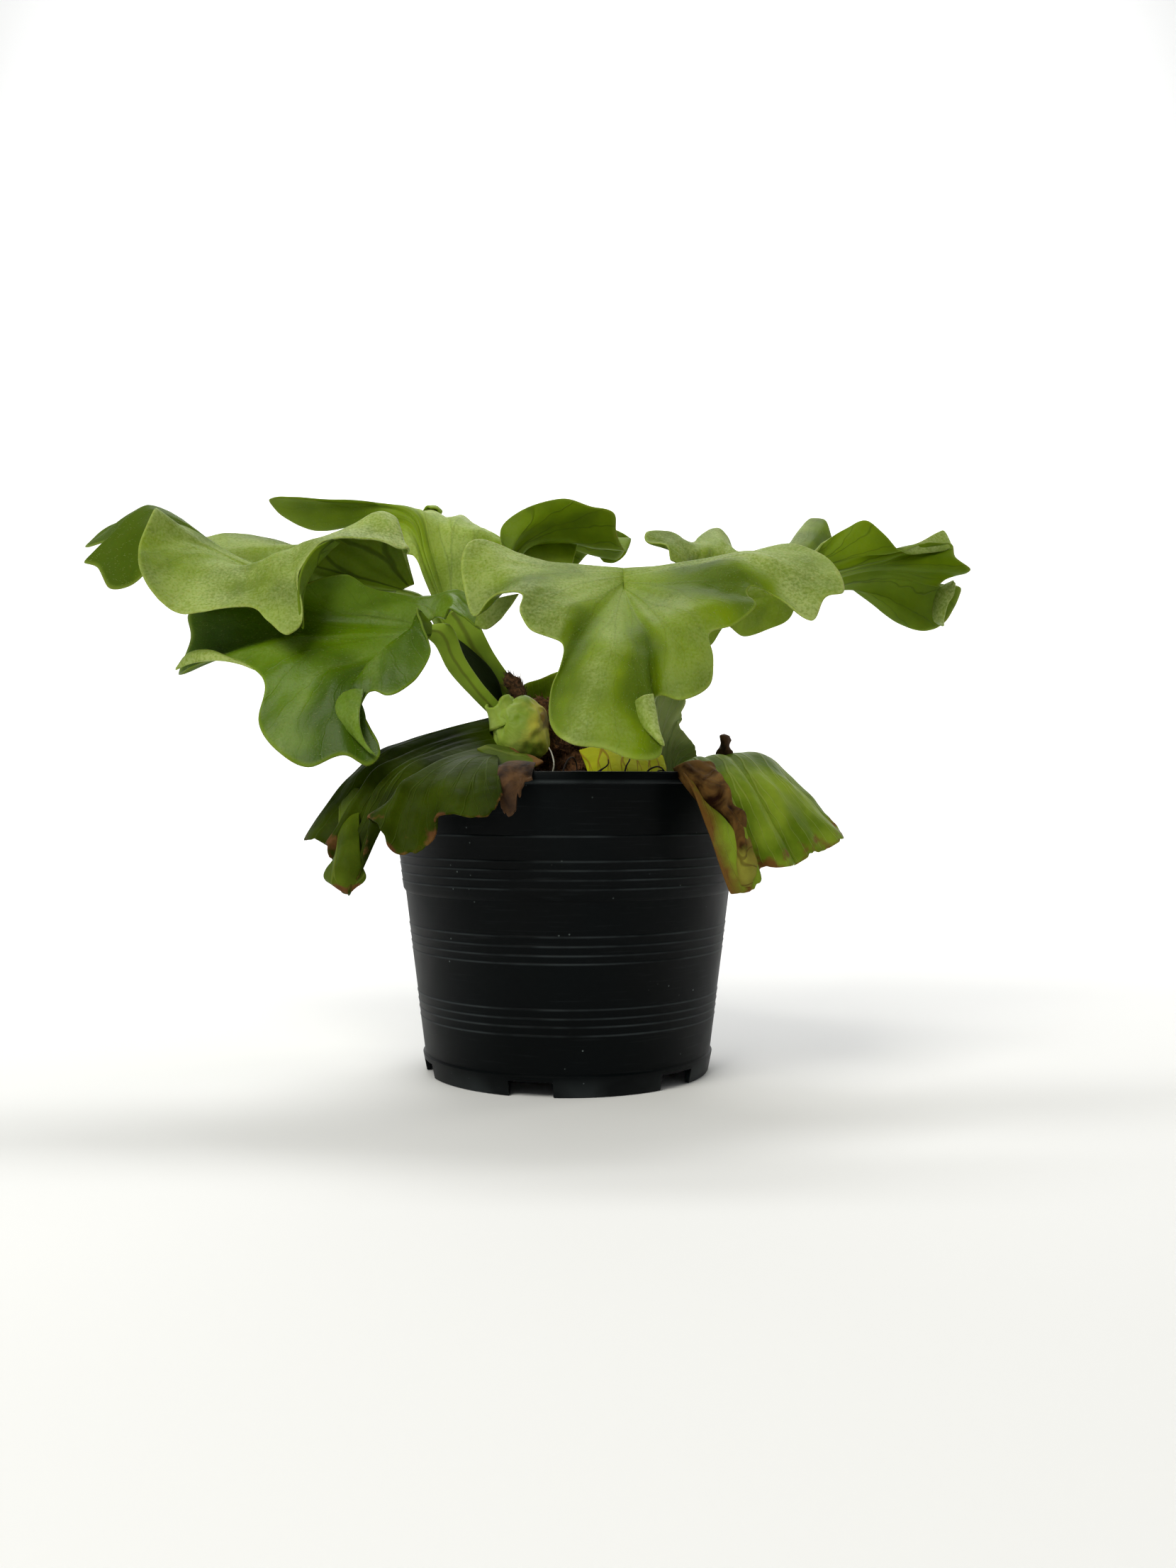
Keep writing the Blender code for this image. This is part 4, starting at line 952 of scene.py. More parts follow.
# The back frond: it stands on a broad flat stalk behind the others, and one branch goes right.
STALK_ROUTE = [
    (-13.5, 9, 124, 6), (-20.2, 9, 132.5, 8), (-25, 9, 138, 9.5), (-31, 10, 146, 10.5),
    (-37.8, 11, 157.6, 12.5), (-41.5, 11.6, 163, 11),
]
VEINS = [
    [(-55.5, 20.5, 183.5), (-59.5, 20.5, 184)],
    [(-57, 23, 190.5), (-61.5, 24.5, 190)],
    [(-57.2, 26.5, 194), (-74.5, 37, 196.4)],
    [(-57, 27, 196.5), (-91.5, 42, 192.6)],
    [(-56.8, 27.5, 197.3), (-104, 40, 198.4)],
    [(-56.5, 28, 198), (-108.3, 35.5, 203)],
    [(-56, 28.5, 199), (-100, 31, 204.5)],
    [(-55, 30, 199.5), (-82.5, 33, 202)],
    [(-54, 32, 199.5), (-71.5, 47, 199)],
    [(-52.5, 33, 199), (-61.5, 53, 198)],
    [(-50, 33.5, 198), (-54, 57, 198.5)],
    [(-47, 33.5, 197), (-48.5, 58, 200.5)],
    [(-44, 33, 195.5), (-44, 57, 196.5)],
    [(-41, 32, 194.5), (-38.5, 55, 198)],
    [(-37.5, 31, 193.5), (-33, 51, 194.5)],
    [(-33, 30, 192.5), (-27, 36, 192)],
    [(-26, 31, 189.5), (-12, 44, 183)],
    [(-21, 33, 187.5), (2, 55, 179.5)],
    [(-17.5, 33, 187), (9, 60, 184.5)],
    [(-15, 32, 187), (18, 59, 181.5)],
    [(-13, 30, 187.5), (23, 51, 190)],
    [(-12, 28, 188), (21, 39, 185.5)],
    [(-12, 26, 189), (17.5, 33, 192)],
    [(-13, 23.5, 190), (17, 29, 199)],
    [(-15.5, 21.5, 190.5), (8.5, 25, 201.5)],
    [(-18, 19, 189.5), (-3, 23, 204.5)],
    [(-20, 17, 186), (-23.5, 20, 195)],
    [(-21.8, 14, 178.6), (-23.5, 14, 183)],
    [(-25.8, 12.5, 173.1), (-23, 12, 174.5)],
    [(-29.3, 11, 167.6), (-27, 10.5, 168.5)],
]
FAN = [(-43.3, 11.1, 155.8), (-38.9, 11.2, 159.3), (-35, 11.1, 162.6)]
CREASES = [
    (5, 0.8, -0.8), (9, 0.7, 0.6), (11, 0.6, -0.7), (13, 0.6, 0.6), (16, 0.8, -0.9), (19, 0.8, 0.9),
    (22, 0.8, -0.8),
]
# Felt left along the veins. Below 0 it is painted shade, on its left tip and on the branch to the right.
FELT_AND_SHADE = [
    (0, 1), (2, 0), (3, -0.3), (7, -0.3), (9, 0.8), (14, 1.2), (16, 0.6), (18, -0.3), (24, -0.3),
    (26, 0.8), (29, 1),
]
grow_frond(
    "frond_centre_back", STALK_ROUTE, (0.78, 0, 0.62), FAN, VEINS, sag=0.0, upper=back_side,
    flip=False, hairs=1800, creases=CREASES, felt=FELT_AND_SHADE,
)
FLAP = [
    [(7.4, 52, 188.2), (10, 52, 190), (13, 53, 192), (17.1, 54, 193.1)],
    [(9.5, 56, 185.5), (14, 58, 186.5), (17.5, 59, 188.5), (20, 58, 191.8)],
    [(13, 58, 181.2), (16.8, 60, 181), (20.8, 61, 184), (23, 60, 189.8)],
]
# The lobe here and the hump below are given felt below 0: painted shade.
grow_flap("frond_centre_back_lobe", FLAP, back_side, seed=6, felt_and_shade=-0.3)
FLAP = [
    [(-20, 30, 185), (-12.5, 32, 182.5), (-5, 34, 180.5), (1.3, 36, 179)],
    [(-19.8, 33, 186), (-12, 36, 187.5), (-4, 38, 187), (3, 39, 185.5)],
    [(-19.7, 36, 186), (-11.5, 40, 191.3), (-5.4, 42, 192), (4.1, 43, 190.2)],
]
grow_flap("frond_centre_back_hump", FLAP, back_side, seed=7, felt_and_shade=-0.4)
FLAP = [
    [(-53, 56, 198.3), (-49.5, 56, 199.3), (-47, 56, 198)],
    [(-51, 52, 201.6), (-47.5, 53, 201.5), (-45.2, 54, 199.6)],
    [(-49.4, 50, 201), (-47, 50, 200.4), (-45.8, 51, 198)],
]
grow_flap("frond_centre_back_curl", FLAP, back_side, seed=8, felt_and_shade=0.2)

# The front frond: the biggest, it arches forward over the rim, with a lobe to the right.
STALK_ROUTE = [
    (0, -1, 113, 4.5), (2.5, -6, 122, 5), (8, -14, 138, 6), (14, -21, 156, 8), (18, -22, 169, 9),
    (20, -27, 173.6, 6),
]
VEINS = [
    [(-6.5, -26, 180.5), (-19.5, -26, 185)],
    [(-10.5, -28, 181.5), (-28.5, -27, 188.5)],
    [(-13, -31, 180.5), (-35.5, -30, 188.5)],
    [(-14.5, -34, 179), (-38.5, -34, 183)],
    [(-15, -38, 177.5), (-37.5, -40, 171.5)],
    [(-15, -41, 176), (-34, -44, 161.5)],
    [(-13.5, -43, 174.5), (-29, -47, 167)],
    [(-11.5, -45, 173), (-21, -50, 170)],
    [(-9, -47, 171.5), (-16.5, -52, 169.5)],
    [(-6.5, -49, 169.5), (-17.5, -56, 164)],
    [(-4, -51, 167), (-13, -60, 156.5)],
    [(-1, -53, 164.5), (-4.5, -60.5, 153.5)],
    [(2, -55, 161.5), (-2, -62, 152)],
    [(5, -57.5, 157.5), (-3, -69.5, 143)],
    [(7, -59, 155.5), (-6.5, -77, 130.5)],
    [(10, -62, 153), (-5.5, -82, 121)],
    [(13.5, -64, 151), (1.5, -86, 115)],
    [(16.5, -65, 150), (12.5, -88, 113.5)],
    [(20, -65, 150), (23, -89, 110)],
    [(23.5, -64, 151), (33, -88, 111)],
    [(26.5, -63, 153), (33, -83, 121)],
    [(29, -62, 154.5), (32, -74, 130.5)],
    [(31.5, -61, 156.5), (33.5, -70, 133.3)],
    [(35, -60, 158), (41, -72, 131)],
    [(38, -59, 160), (51, -69, 136)],
    [(41, -57, 162.5), (52.5, -65, 146)],
    [(44, -55, 165), (51, -60, 155.5)],
    [(47, -53, 168.5), (59.5, -58, 158.5)],
    [(49.5, -50, 172), (68, -57, 166.5)],
    [(51.5, -47, 175.5), (65, -52, 172)],
    [(56, -43, 179.5), (67, -48, 173)],
    [(61, -40, 182), (76, -51, 168)],
    [(65, -38, 182.5), (88, -54, 159.5)],
    [(67.5, -37, 183.5), (93, -48, 168)],
    [(68.5, -35, 184), (99.5, -46, 170)],
    [(68, -33, 185), (97.5, -38, 178)],
    [(66, -31, 185), (92.5, -31, 183.5)],
    [(62.5, -29, 184), (80, -26, 188)],
    [(56, -27, 182), (66, -23, 185)],
    [(47, -26, 180), (53.5, -23, 181)],
]
FAN = [
    (20.8, -25.4, 179), (20.9, -27.4, 177.2), (20.6, -29.2, 175), (20.2, -30.6, 173.2),
    (20, -31.4, 172), (19.8, -30.7, 173.2), (19.4, -29.4, 175), (19.1, -27.7, 177.2),
    (19.2, -25.7, 179),
]
CREASES = [
    (7, 1.6, 0.8), (13.5, 1.4, -1.6), (17, 1.8, 0.9), (20.4, 1.6, -0.9), (24, 1.8, 0.9),
    (28.7, 1.2, -2.2), (33, 1.6, 0.8),
]
# Felt left along the veins. Below 0 it is painted shade, in the valleys of its pleats.
FELT_AND_SHADE = [
    (0, 0.8), (4, 0.6), (6, 0.3), (9, 0.7), (11, 0.5), (13, -0.8), (14.5, -0.5), (16, 0.6), (17.5, 0.1),
    (18.5, -0.7), (20.4, -1), (22.5, 0.2), (26, 0.35), (28, -0.8), (30, -0.7), (32, 0.8), (39, 0.7),
]
grow_frond(
    "frond_front", STALK_ROUTE, (1, 0, 0), FAN, VEINS, sag=0.0, upper=bloomed,
    flip=True, hairs=2600, creases=CREASES, felt=FELT_AND_SHADE,
)
FLAP = [
    [(23, -76, 130.3), (24.3, -79, 126.4), (27.8, -83, 121.1), (34, -87, 115.6)],
    [(27, -79, 133.3), (28.5, -82, 127.6), (30.6, -85, 121.6), (34.4, -88, 115.2)],
    [(30.9, -76, 134.1), (31.9, -79, 128.2), (32.9, -83, 121.8), (34.7, -87.5, 114.9)],
]
grow_flap("frond_front_curl", FLAP, bloomed, seed=9)

# The right frond: it goes right and back, and its broad end is seen from below.
STALK_ROUTE = [
    (1, 8, 113, 4.5), (7, 10, 122, 5), (17, 12, 136, 6), (30, 15, 152, 8), (42, 18, 166, 11),
    (49.5, 19.8, 168.5, 6),
]
VEINS = [
    [(42, 16, 179), (37, 14, 182)],
    [(42, 17, 181.5), (35.5, 15, 187.5)],
    [(42.5, 18, 183), (28, 19, 189)],
    [(43.5, 20, 184), (28.5, 23, 192.5)],
    [(45, 22, 185), (37, 28, 192.5)],
    [(47, 24, 185.5), (41, 32, 189.5)],
    [(49.5, 26, 185), (45.5, 38, 187.5)],
    [(52, 28, 185), (49.5, 48, 192)],
    [(54.5, 29, 184.5), (54, 52, 193.5)],
    [(57, 30, 184), (57.5, 50, 190.5)],
    [(60.5, 30, 183.5), (61, 44, 185)],
    [(66, 30, 183), (72.5, 44, 185)],
    [(72.5, 29, 183), (81.5, 54, 188)],
    [(77.5, 28, 183.5), (87, 64, 197.5)],
    [(82, 27, 183.5), (93, 62, 198)],
    [(87, 33, 180), (96.5, 53, 188)],
    [(92, 38.5, 176.5), (102.5, 53, 177)],
    [(97.5, 42.5, 174), (111, 57, 166)],
    [(102.5, 45, 172.6), (119, 62.5, 160)],
    [(106, 46.2, 172.3), (129, 66.5, 156.8)],
    [(109, 45.5, 173), (136, 70, 160)],
    [(110.5, 42.5, 175), (142, 66, 172)],
    [(110.5, 39, 176.5), (134, 54, 171.5)],
    [(109.5, 36, 177.5), (139, 48, 175.5)],
    [(109.5, 33, 179), (145.5, 44, 178.5)],
    [(108.5, 31, 180), (140, 42, 183)],
    [(107.5, 29, 181), (138.5, 46.5, 187.5)],
    [(106, 27, 181.5), (134, 44, 188.5)],
    [(104, 25, 182.5), (129, 39, 189)],
    [(101.5, 23, 183), (120, 29, 185.5)],
    [(98.5, 22, 183.8), (114.5, 26, 191)],
    [(95.5, 21.5, 184.2), (107.5, 24, 196.5)],
    [(92, 21, 184.3), (100.5, 24, 194)],
    [(88.5, 19.5, 184.3), (93, 22, 189)],
    [(84.5, 16.5, 181), (89.5, 17, 185)],
    [(81, 15.5, 177), (86, 16, 177)],
    [(77, 15, 172.5), (83, 17, 169)],
    [(75, 15.5, 168.5), (80, 19, 161)],
    [(71.5, 14.5, 166), (72.5, 15.5, 157)],
    [(65.5, 13, 165.5), (63, 13, 154.5)],
    [(59.5, 12, 165.5), (57, 11, 158.5)],
    [(54, 11, 166), (51, 8, 151)],
    [(49.5, 9.5, 168), (47, 7, 156)],
]
FAN = [
    (42, 16.5, 172.8), (46, 21.6, 170.6), (47.8, 20.4, 169.6), (47.6, 22.6, 167.6), (48.8, 21.6, 164.9),
    (49.6, 18.6, 165.9), (49, 17.2, 166.6), (48.4, 15.8, 166.3), (47, 13.4, 167),
]
CREASES = [
    (6, 0.7, 1.2), (14, 0.8, -1.5), (19, 0.9, -1.5), (22.5, 0.8, 2.0), (27, 0.8, -1.5), (32, 0.7, 1.0),
    (38, 0.8, -1.2),
]
# Felt left along the veins. Below 0 it is painted shade, across the middle of its broad end.
FELT_AND_SHADE = [
    (0, 0.4), (6, 0.7), (12, 0.7), (14, 0.1), (16, -0.5), (27, -0.5), (30, 0.5), (34, 0.4), (36, 0.1),
    (42, 0.2),
]
grow_frond(
    "frond_right", STALK_ROUTE, (0.75, 0, -0.66), FAN, VEINS, sag=0.0, upper=bloomed,
    flip=False, hairs=1800, creases=CREASES, felt=FELT_AND_SHADE,
)
FLAP = [
    [(118.1, 28, 186.4), (123, 32, 184.2), (129.4, 37, 184.6), (136, 42, 185.4), (138, 45, 186.4)],
    [(120, 30, 186.4), (125.5, 36, 186.8), (131.5, 42, 188.6), (136, 46, 189.2), (138.2, 46, 187)],
    [(122.2, 33, 186.2), (127.9, 40, 189.1), (133.5, 47, 192.2), (135.4, 49, 192.6), (138, 47, 187.4)],
]
grow_flap("frond_right_flap", FLAP, bloomed, seed=10, felt_and_shade=0.9)
FLAP = [
    [(139.2, 52, 174.8), (134.4, 54, 172.4), (132.3, 56, 168.7), (131.7, 58, 160.6), (135.2, 60, 158.4)],
    [(139.3, 51, 174.2), (137, 51, 171.4), (135, 52.5, 167.8), (133.8, 55, 161), (135.3, 59, 158.3)],
    [(139.4, 52, 173.8), (139.2, 50, 169.6), (137.2, 51, 166.3), (135.8, 53, 161.4), (135.4, 58, 158.2)],
]
grow_flap("frond_right_curl", FLAP, bloomed, seed=11, felt_and_shade=0.9)

# The shield fronds: round sterile fronds that clasp the pot. They are thin, ribbed and pleated, and dry to
# brown paper from their torn edges.
SHIELD = 1.0
SPLIT = 3
FOLD_ROWS = (6, 6, 6)
BARE = ((0, 0),)


def dry_frond(tree, place, dark, light):
    """Dried frond: patches from dark to tan, fine fibres and a crinkled surface."""
    patch = add(tree, "TexNoise", Vector=place, Scale=every(8.33), Detail=6.0, Distortion=0.8)
    tone = add(tree, "MapRange", i0=patch, i1=0.36, i2=0.66)
    paper = add(tree, "Mix", RGBA, out=2, i0=tone, i6=linear(dark), i7=linear(light))
    crinkle = add(tree, "TexNoise", Vector=place, Scale=every(3.03), Detail=6.0, Distortion=0.5)
    return paper, crinkle


def shield_side(
    name, base, deep, rib, rib_strength, brown="#4b2d1a", dry_from=-2.0, dry_to=-1.0, dry_start=1.05,
    roughness=0.5,
):
    """A shield frond: pleated green with pale ribs, that browns from its margin and from one of its sides.

    It is dry beyond the share dry_start of the way out, and on the veins up to dry_from, fading to dry_to.
    """
    mat, tree = blank_material(name)
    veins, out, place, across = forked_veins(tree, 0.2)
    cloud = add(tree, "TexNoise", Vector=place, Scale=every(18.2), Detail=4.0)
    tone = add(tree, "MapRange", i0=cloud, i1=0.35, i2=0.65)
    colour = add(tree, "Mix", RGBA, out=2, i0=tone, i6=linear(deep), i7=linear(base))
    line = add(tree, "Math", MULTIPLY, i0=veins, i1=rib_strength)
    colour = add(tree, "Mix", RGBA, out=2, i0=line, i6=colour, i7=linear(rib))
    # The dry part: from the margin inwards, and from one side.
    torn = add(tree, "TexNoise", Vector=place, Scale=every(6.25), Detail=5.0)
    shift = add(tree, "MapRange", i0=torn, i1=0.3, i2=0.7, i3=-0.09, i4=0.09)
    reach = add(tree, "Math", ADD, i0=out, i1=shift)
    edge = add(tree, "MapRange", i0=reach, i1=dry_start, i2=dry_start + 0.05)
    jag = add(tree, "MapRange", i0=torn, i1=0.3, i2=0.7, i3=-0.7, i4=0.7)
    column = add(tree, "Math", ADD, i0=across, i1=jag)
    side = add(tree, "MapRange", i0=column, i1=dry_from, i2=dry_to, i3=1.0, i4=0.0)
    dried = add(tree, "Math", MAXIMUM, i0=edge, i1=side)
    paper, crinkle = dry_frond(tree, place, brown, "#735429")
    colour = add(tree, "Mix", RGBA, out=2, i0=dried, i6=colour, i7=paper)
    height = add(tree, "Math", ADD, i0=veins, i1=crinkle)
    bump = add(tree, "Bump", Strength=0.5, Distance=0.6 * MM, Height=height)
    shade(
        tree, colour, roughness, Normal=bump, Specular_IOR_Level=0.04, Subsurface_Weight=0.1,
        Subsurface_Scale=2 * MM,
    )
    return mat


def dead_frond_skin():
    """Dead frond: dark brown to tan paper, crinkled and fibrous."""
    mat, tree = blank_material("dry_dead_frond")
    place = add(tree, "TexCoord", out="Object")
    paper, crinkle = dry_frond(tree, place, "#20120a", "#604326")
    bump = add(tree, "Bump", Strength=0.8, Distance=0.8 * MM, Height=crinkle)
    shade(tree, paper, 0.7, Normal=bump, Specular_IOR_Level=0.2)
    return mat


dead_leaf = dead_frond_skin()


def grow_shield(name, veins, rows, skin, flip, crumple, creases=(), tear=0):
    """A shield or a scrap of one, on veins of (across, depth, up) from its foot to its margin.

    Each gap between two veins is split into SPLIT smaller ones, so that a pleat can be narrow.
    """
    net = []
    for i in range(len(veins[0])):
        line = [seen(*vein[i]) for vein in veins]
        count = SPLIT * (len(line) - 1)
        net.append([smooth(line, k / count) for k in range(count + 1)])
    pleats = [(SPLIT * middle, SPLIT * width, height) for middle, width, height in creases]
    shield = grow_sheet(
        name + "_leaf", net, rows, SHIELD, [skin], flip=flip, ripple=crumple, seed=len(veins),
        creases=pleats, felt=BARE, tear=tear,
    )
    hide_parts(name)


def grow_fold(name, lines, skin, crumple, seed, tear, creases=()):
    """A turned or rolled bit of a shield, on lines of (across, depth, up) from its foot to its edge."""
    grow_sheet(
        name, placed(lines), FOLD_ROWS, SHIELD, [skin], flip=False, ripple=crumple,
        seed=seed, creases=creases, felt=BARE, tear=tear,
    )


# The left shield: it comes from the crown's left and droops over the rim, browned and torn along its edge.
VEINS = [
    [(-24.5, 2, 126), (-51.5, -12, 119), (-71.5, -26, 111), (-96, -38, 81)],
    [(-23, -3, 123.5), (-49, -20, 115.5), (-68, -38, 106.5), (-87.5, -50, 80)],
    [(-22, -6, 120), (-46.5, -26, 113.5), (-65.5, -46, 102.5), (-83.5, -58, 64)],
    [(-22, -9, 117.5), (-45, -32, 112), (-61.5, -52, 101.5), (-77, -64, 61.5)],
    [(-22, -12, 115.5), (-42.5, -38, 111), (-57.5, -58, 100.5), (-73, -66, 89.5)],
    [(-22, -16, 114), (-40, -44, 110.5), (-54, -63, 100), (-62, -74, 76)],
    [(-22, -20, 112.5), (-37.5, -48, 110), (-47.5, -67, 99.5), (-48.5, -76, 81)],
    [(-22.5, -25, 111.5), (-34, -52, 109.5), (-41, -69, 100), (-46.5, -76, 90)],
    [(-25.5, -34, 111.5), (-29.5, -56, 109), (-32, -71, 100.5), (-29, -78, 89.5)],
    [(-25, -38, 110.5), (-25, -60, 108.5), (-24.5, -72, 102.5), (-23.5, -76, 97.5)],
]
# Old shield: dark dull green with a thin brown edge, and pale ribs that are partly a painted sheen.
left_side = shield_side(
    "pleated_shield", "#374601", "#202b01", "#56672a", rib_strength=0.2, dry_start=0.98
)
CREASES = [
    (0.8, 0.22, -3.0), (1.2, 0.15, 2.0), (1.7, 0.15, -1.6), (2.1, 0.15, 1.4), (2.5, 0.15, -1.4),
    (3, 0.2, 2.0), (3.7, 0.25, -4.0), (4.5, 0.3, 3.0), (5.4, 0.3, -1.0), (6.6, 0.4, 0.8),
    (7.8, 0.3, -0.8),
]
grow_shield(
    "shield_left", VEINS, (6, 6, 9), left_side, flip=True, crumple=1.3, creases=CREASES,
    tear=0.06,
)
FLAP = [
    [(-82, -29, 101), (-79.5, -32, 101), (-77, -36, 100.5), (-75, -39, 100)],
    [(-84, -59, 74), (-82, -63, 74), (-79.5, -64, 74), (-74.3, -63, 73)],
    [(-87.5, -59, 68.5), (-84.5, -64, 67), (-80.5, -65, 66), (-72.6, -63, 68)],
    [(-82.7, -60, 63.6), (-81, -63, 62), (-79, -63, 61.5), (-76.3, -61, 64)],
]
# Rolled tip of the same shield: its lighter inner side, dry and brown at the end.
roll_side = shield_side(
    "rolled_shield_tip", "#526310", "#354407", "#7b8838", rib_strength=0.3, brown="#5b3a1e", dry_start=0.8
)
grow_fold("shield_left_roll", FLAP, roll_side, crumple=2.2, seed=3, tear=0.12)
FLAP = [
    [(-33, -30, 114), (-28.5, -36, 110.5), (-26, -44, 106.8)],
    [(-27, -25, 116), (-21, -31, 111.8), (-18, -41, 107.4)],
    [(-20.5, -22.5, 114), (-13.5, -26, 111.2), (-8.5, -32, 108.4)],
]
grow_fold("shield_left_shelf", FLAP, roll_side, crumple=1.6, seed=5, tear=0.05)

# The right shield: bright green between its ribs, with a dead brown fold along its inner side.
VEINS = [
    [(38, -31, 102.5), (39.5, -50, 107.5), (44.5, -62, 100), (58.5, -60, 61.5)],
    [(39.5, -29, 102.5), (44.5, -44, 110), (52, -60, 100), (66.5, -58, 63)],
    [(41, -27, 102.5), (49.5, -38, 111), (58.5, -56, 100), (70.5, -56, 70)],
    [(42.5, -24, 102.5), (54.5, -32, 111.5), (65, -50, 100), (80.5, -54, 71.5)],
    [(44, -20, 102.5), (59.5, -26, 112), (70.5, -44, 100.5), (88, -48, 75.5)],
    [(45, -16, 102.5), (65, -18, 112.5), (76, -36, 101.5), (96, -42, 79)],
    [(47, -9, 102.5), (68.5, -8, 112), (80, -24, 102.5), (100, -34, 83)],
    [(48, 0, 102.5), (70, 4, 111.5), (81, -10, 103), (91.5, -20, 92)],
]
# Shield in its prime: bright green with paler ribs, brown on its inner side.
right_side = shield_side(
    "ribbed_shield", "#84992a", "#536b0c", "#bcc76c", rib_strength=0.2, brown="#6a4a1e", dry_from=0.2,
    dry_to=2.2, dry_start=0.965, roughness=0.45,
)
CREASES = [
    (1.4, 0.3, 2.4), (2.0, 0.22, -2.6), (2.7, 0.35, 1.6), (3.4, 0.2, -2.2), (4.1, 0.4, 1.2),
    (5.2, 0.5, 1.0), (6.2, 0.3, -1.2),
]
grow_shield(
    "shield_right", VEINS, (6, 7, 10), right_side, flip=True, crumple=1.1, creases=CREASES,
    tear=0.02,
)
FLAP = [
    [
        (37.8, -50, 107), (40.3, -54, 103.2), (47, -57, 95), (54.6, -55, 87.4), (55.9, -55, 79.7),
        (58.7, -55, 73.5), (60.8, -55, 69.5), (62.6, -56, 66.4),
    ],
    [
        (43, -54, 109.5), (46, -61, 103.5), (51.5, -64, 95), (58.5, -62, 88), (60.5, -61, 80),
        (61.5, -60, 73.5), (62.3, -58, 69), (62.9, -57, 66.2),
    ],
    [
        (48.5, -56, 110.5), (51, -61.5, 103), (55, -66, 95), (61, -66, 88.5), (63.5, -65, 80.8),
        (64, -63, 74), (63.6, -60, 69), (63.2, -58, 66),
    ],
    [
        (53.4, -52, 109.6), (55.8, -60, 102.7), (59.5, -63.5, 95), (65, -62, 89.5), (67.5, -61, 81.5),
        (67, -60, 75.1), (65, -58, 69), (63.6, -57, 66),
    ],
]
# Dying fold: brown paper with dark ribs at the top, still green towards its tip.
fold_side = shield_side(
    "browned_fold", "#8c8a34", "#57401a", "#3c1f0c", rib_strength=0.5, brown="#1c0a03", dry_from=3.8,
    dry_to=5.6, roughness=0.6,
)
CREASES = [(1.5, 0.4, 1.5), (3.5, 0.4, -1.5), (5.2, 0.4, 1.5)]
grow_fold("shield_right_fold", FLAP, fold_side, crumple=3.0, seed=4, tear=0.12, creases=CREASES)

# The yellow shield: an old one that leans on the mix behind the front rim, with thin brown veins.
VEINS = [
    [(4, -30, 113.4), (6, -40, 109), (8.5, -50, 102)],
    [(10, -31, 115), (11, -42, 110), (12.5, -54, 101.5)],
    [(17, -31, 115.5), (17, -43, 110.5), (18, -55, 101.5)],
    [(24, -30, 115), (25, -42, 110.5), (26, -53, 101.5)],
    [(30, -29, 113.5), (31, -40, 109.5), (31.5, -49, 101.5)],
    [(34, -28, 111.5), (35, -37, 107.5), (35.5, -45, 102)],
]
# Fading shield: yellow, with thin brown veins.
yellow_side = shield_side(
    "yellowed_shield", "#bcbc10", "#8f9806", "#8a5a12", rib_strength=0.7, brown="#6d4a24", roughness=0.55
)
grow_shield("shield_yellow", VEINS, (6, 6), yellow_side, flip=True, crumple=1.0)

# The right back shield: small and lobed, with pale veins.
VEINS = [
    [(30, -13, 101), (24, -14, 112), (17, -13, 118)],
    [(31, -13, 101), (26, -14, 116), (20, -12, 127)],
    [(32, -13, 101), (29, -14, 118), (28, -11, 136.5)],
    [(33, -13, 101), (32, -14, 118), (34, -11, 136.5)],
    [(34, -13, 101), (34.5, -14, 118), (42.5, -12, 132)],
    [(35, -13, 101), (35.5, -14, 116), (41, -13, 127.5)],
    [(36, -13, 101), (36.5, -14, 115), (40, -14, 123.5)],
    [(37, -12, 101), (38, -13, 113), (42.5, -14, 119.5)],
    [(38, -12, 101), (39.5, -13, 110.5), (46, -13, 115)],
    [(39, -12, 101), (41, -12, 108), (47, -11, 110.5)],
]
# Young lobed shield: pale green with paler veins.
lobed_side = shield_side("lobed_shield", "#bccb86", "#9cad64", "#e2eabf", rib_strength=0.35)
CREASES = [(1.5, 0.3, 1.0), (2.5, 0.3, -1.2), (4, 0.4, 1.2), (5.4, 0.3, -1.2), (7, 0.5, 1.0)]
grow_shield(
    "shield_right_back", VEINS, (6, 8), lobed_side, flip=False, crumple=1.2,
    creases=CREASES, tear=0.05,
)

# The back shield: light green, and it stands behind the crown.
VEINS = [
    [(-12, 24, 101), (-20, 22, 118), (-17, 19, 129)],
    [(-8, 25, 101), (-14, 23, 122), (-16, 19, 137)],
    [(-4, 26, 101), (-8, 24, 124), (-10, 20, 139.5)],
    [(0, 26, 101), (-1, 25, 125), (-4, 21, 142)],
    [(4, 26, 101), (6, 25, 125), (5, 22, 143)],
    [(8, 25, 101), (13, 24, 124), (14, 21, 140)],
    [(12, 24, 101), (20, 22, 120), (22, 19, 132)],
]
# Fresh shield: even light green.
light_side = shield_side("light_shield", "#71871a", "#566c0c", "#8fa044", rib_strength=0.3)
grow_shield("shield_back", VEINS, (5, 5), light_side, flip=False, crumple=0.9)

# The young shield: a round wrinkled cushion on the crown's front, yellower on its right, with a ragged
# collar where the lower left frond's stalk comes out.
YOUNG_MIDDLE = (-16.8, -11, 120.6)
YOUNG_SIZE = (10.4, 9.2, 11.9)
COLLAR_MIDDLE = (-23.5, -11, 128.5)
COLLAR_AXIS = (-0.45, -0.1, 0.88)
COLLAR_RADIUS = 5.6
COLLAR_FLARE = 3.0
COLLAR_FOOT = -5.0
COLLAR_HEIGHT = 8.0
COLLAR_WALL = 0.7


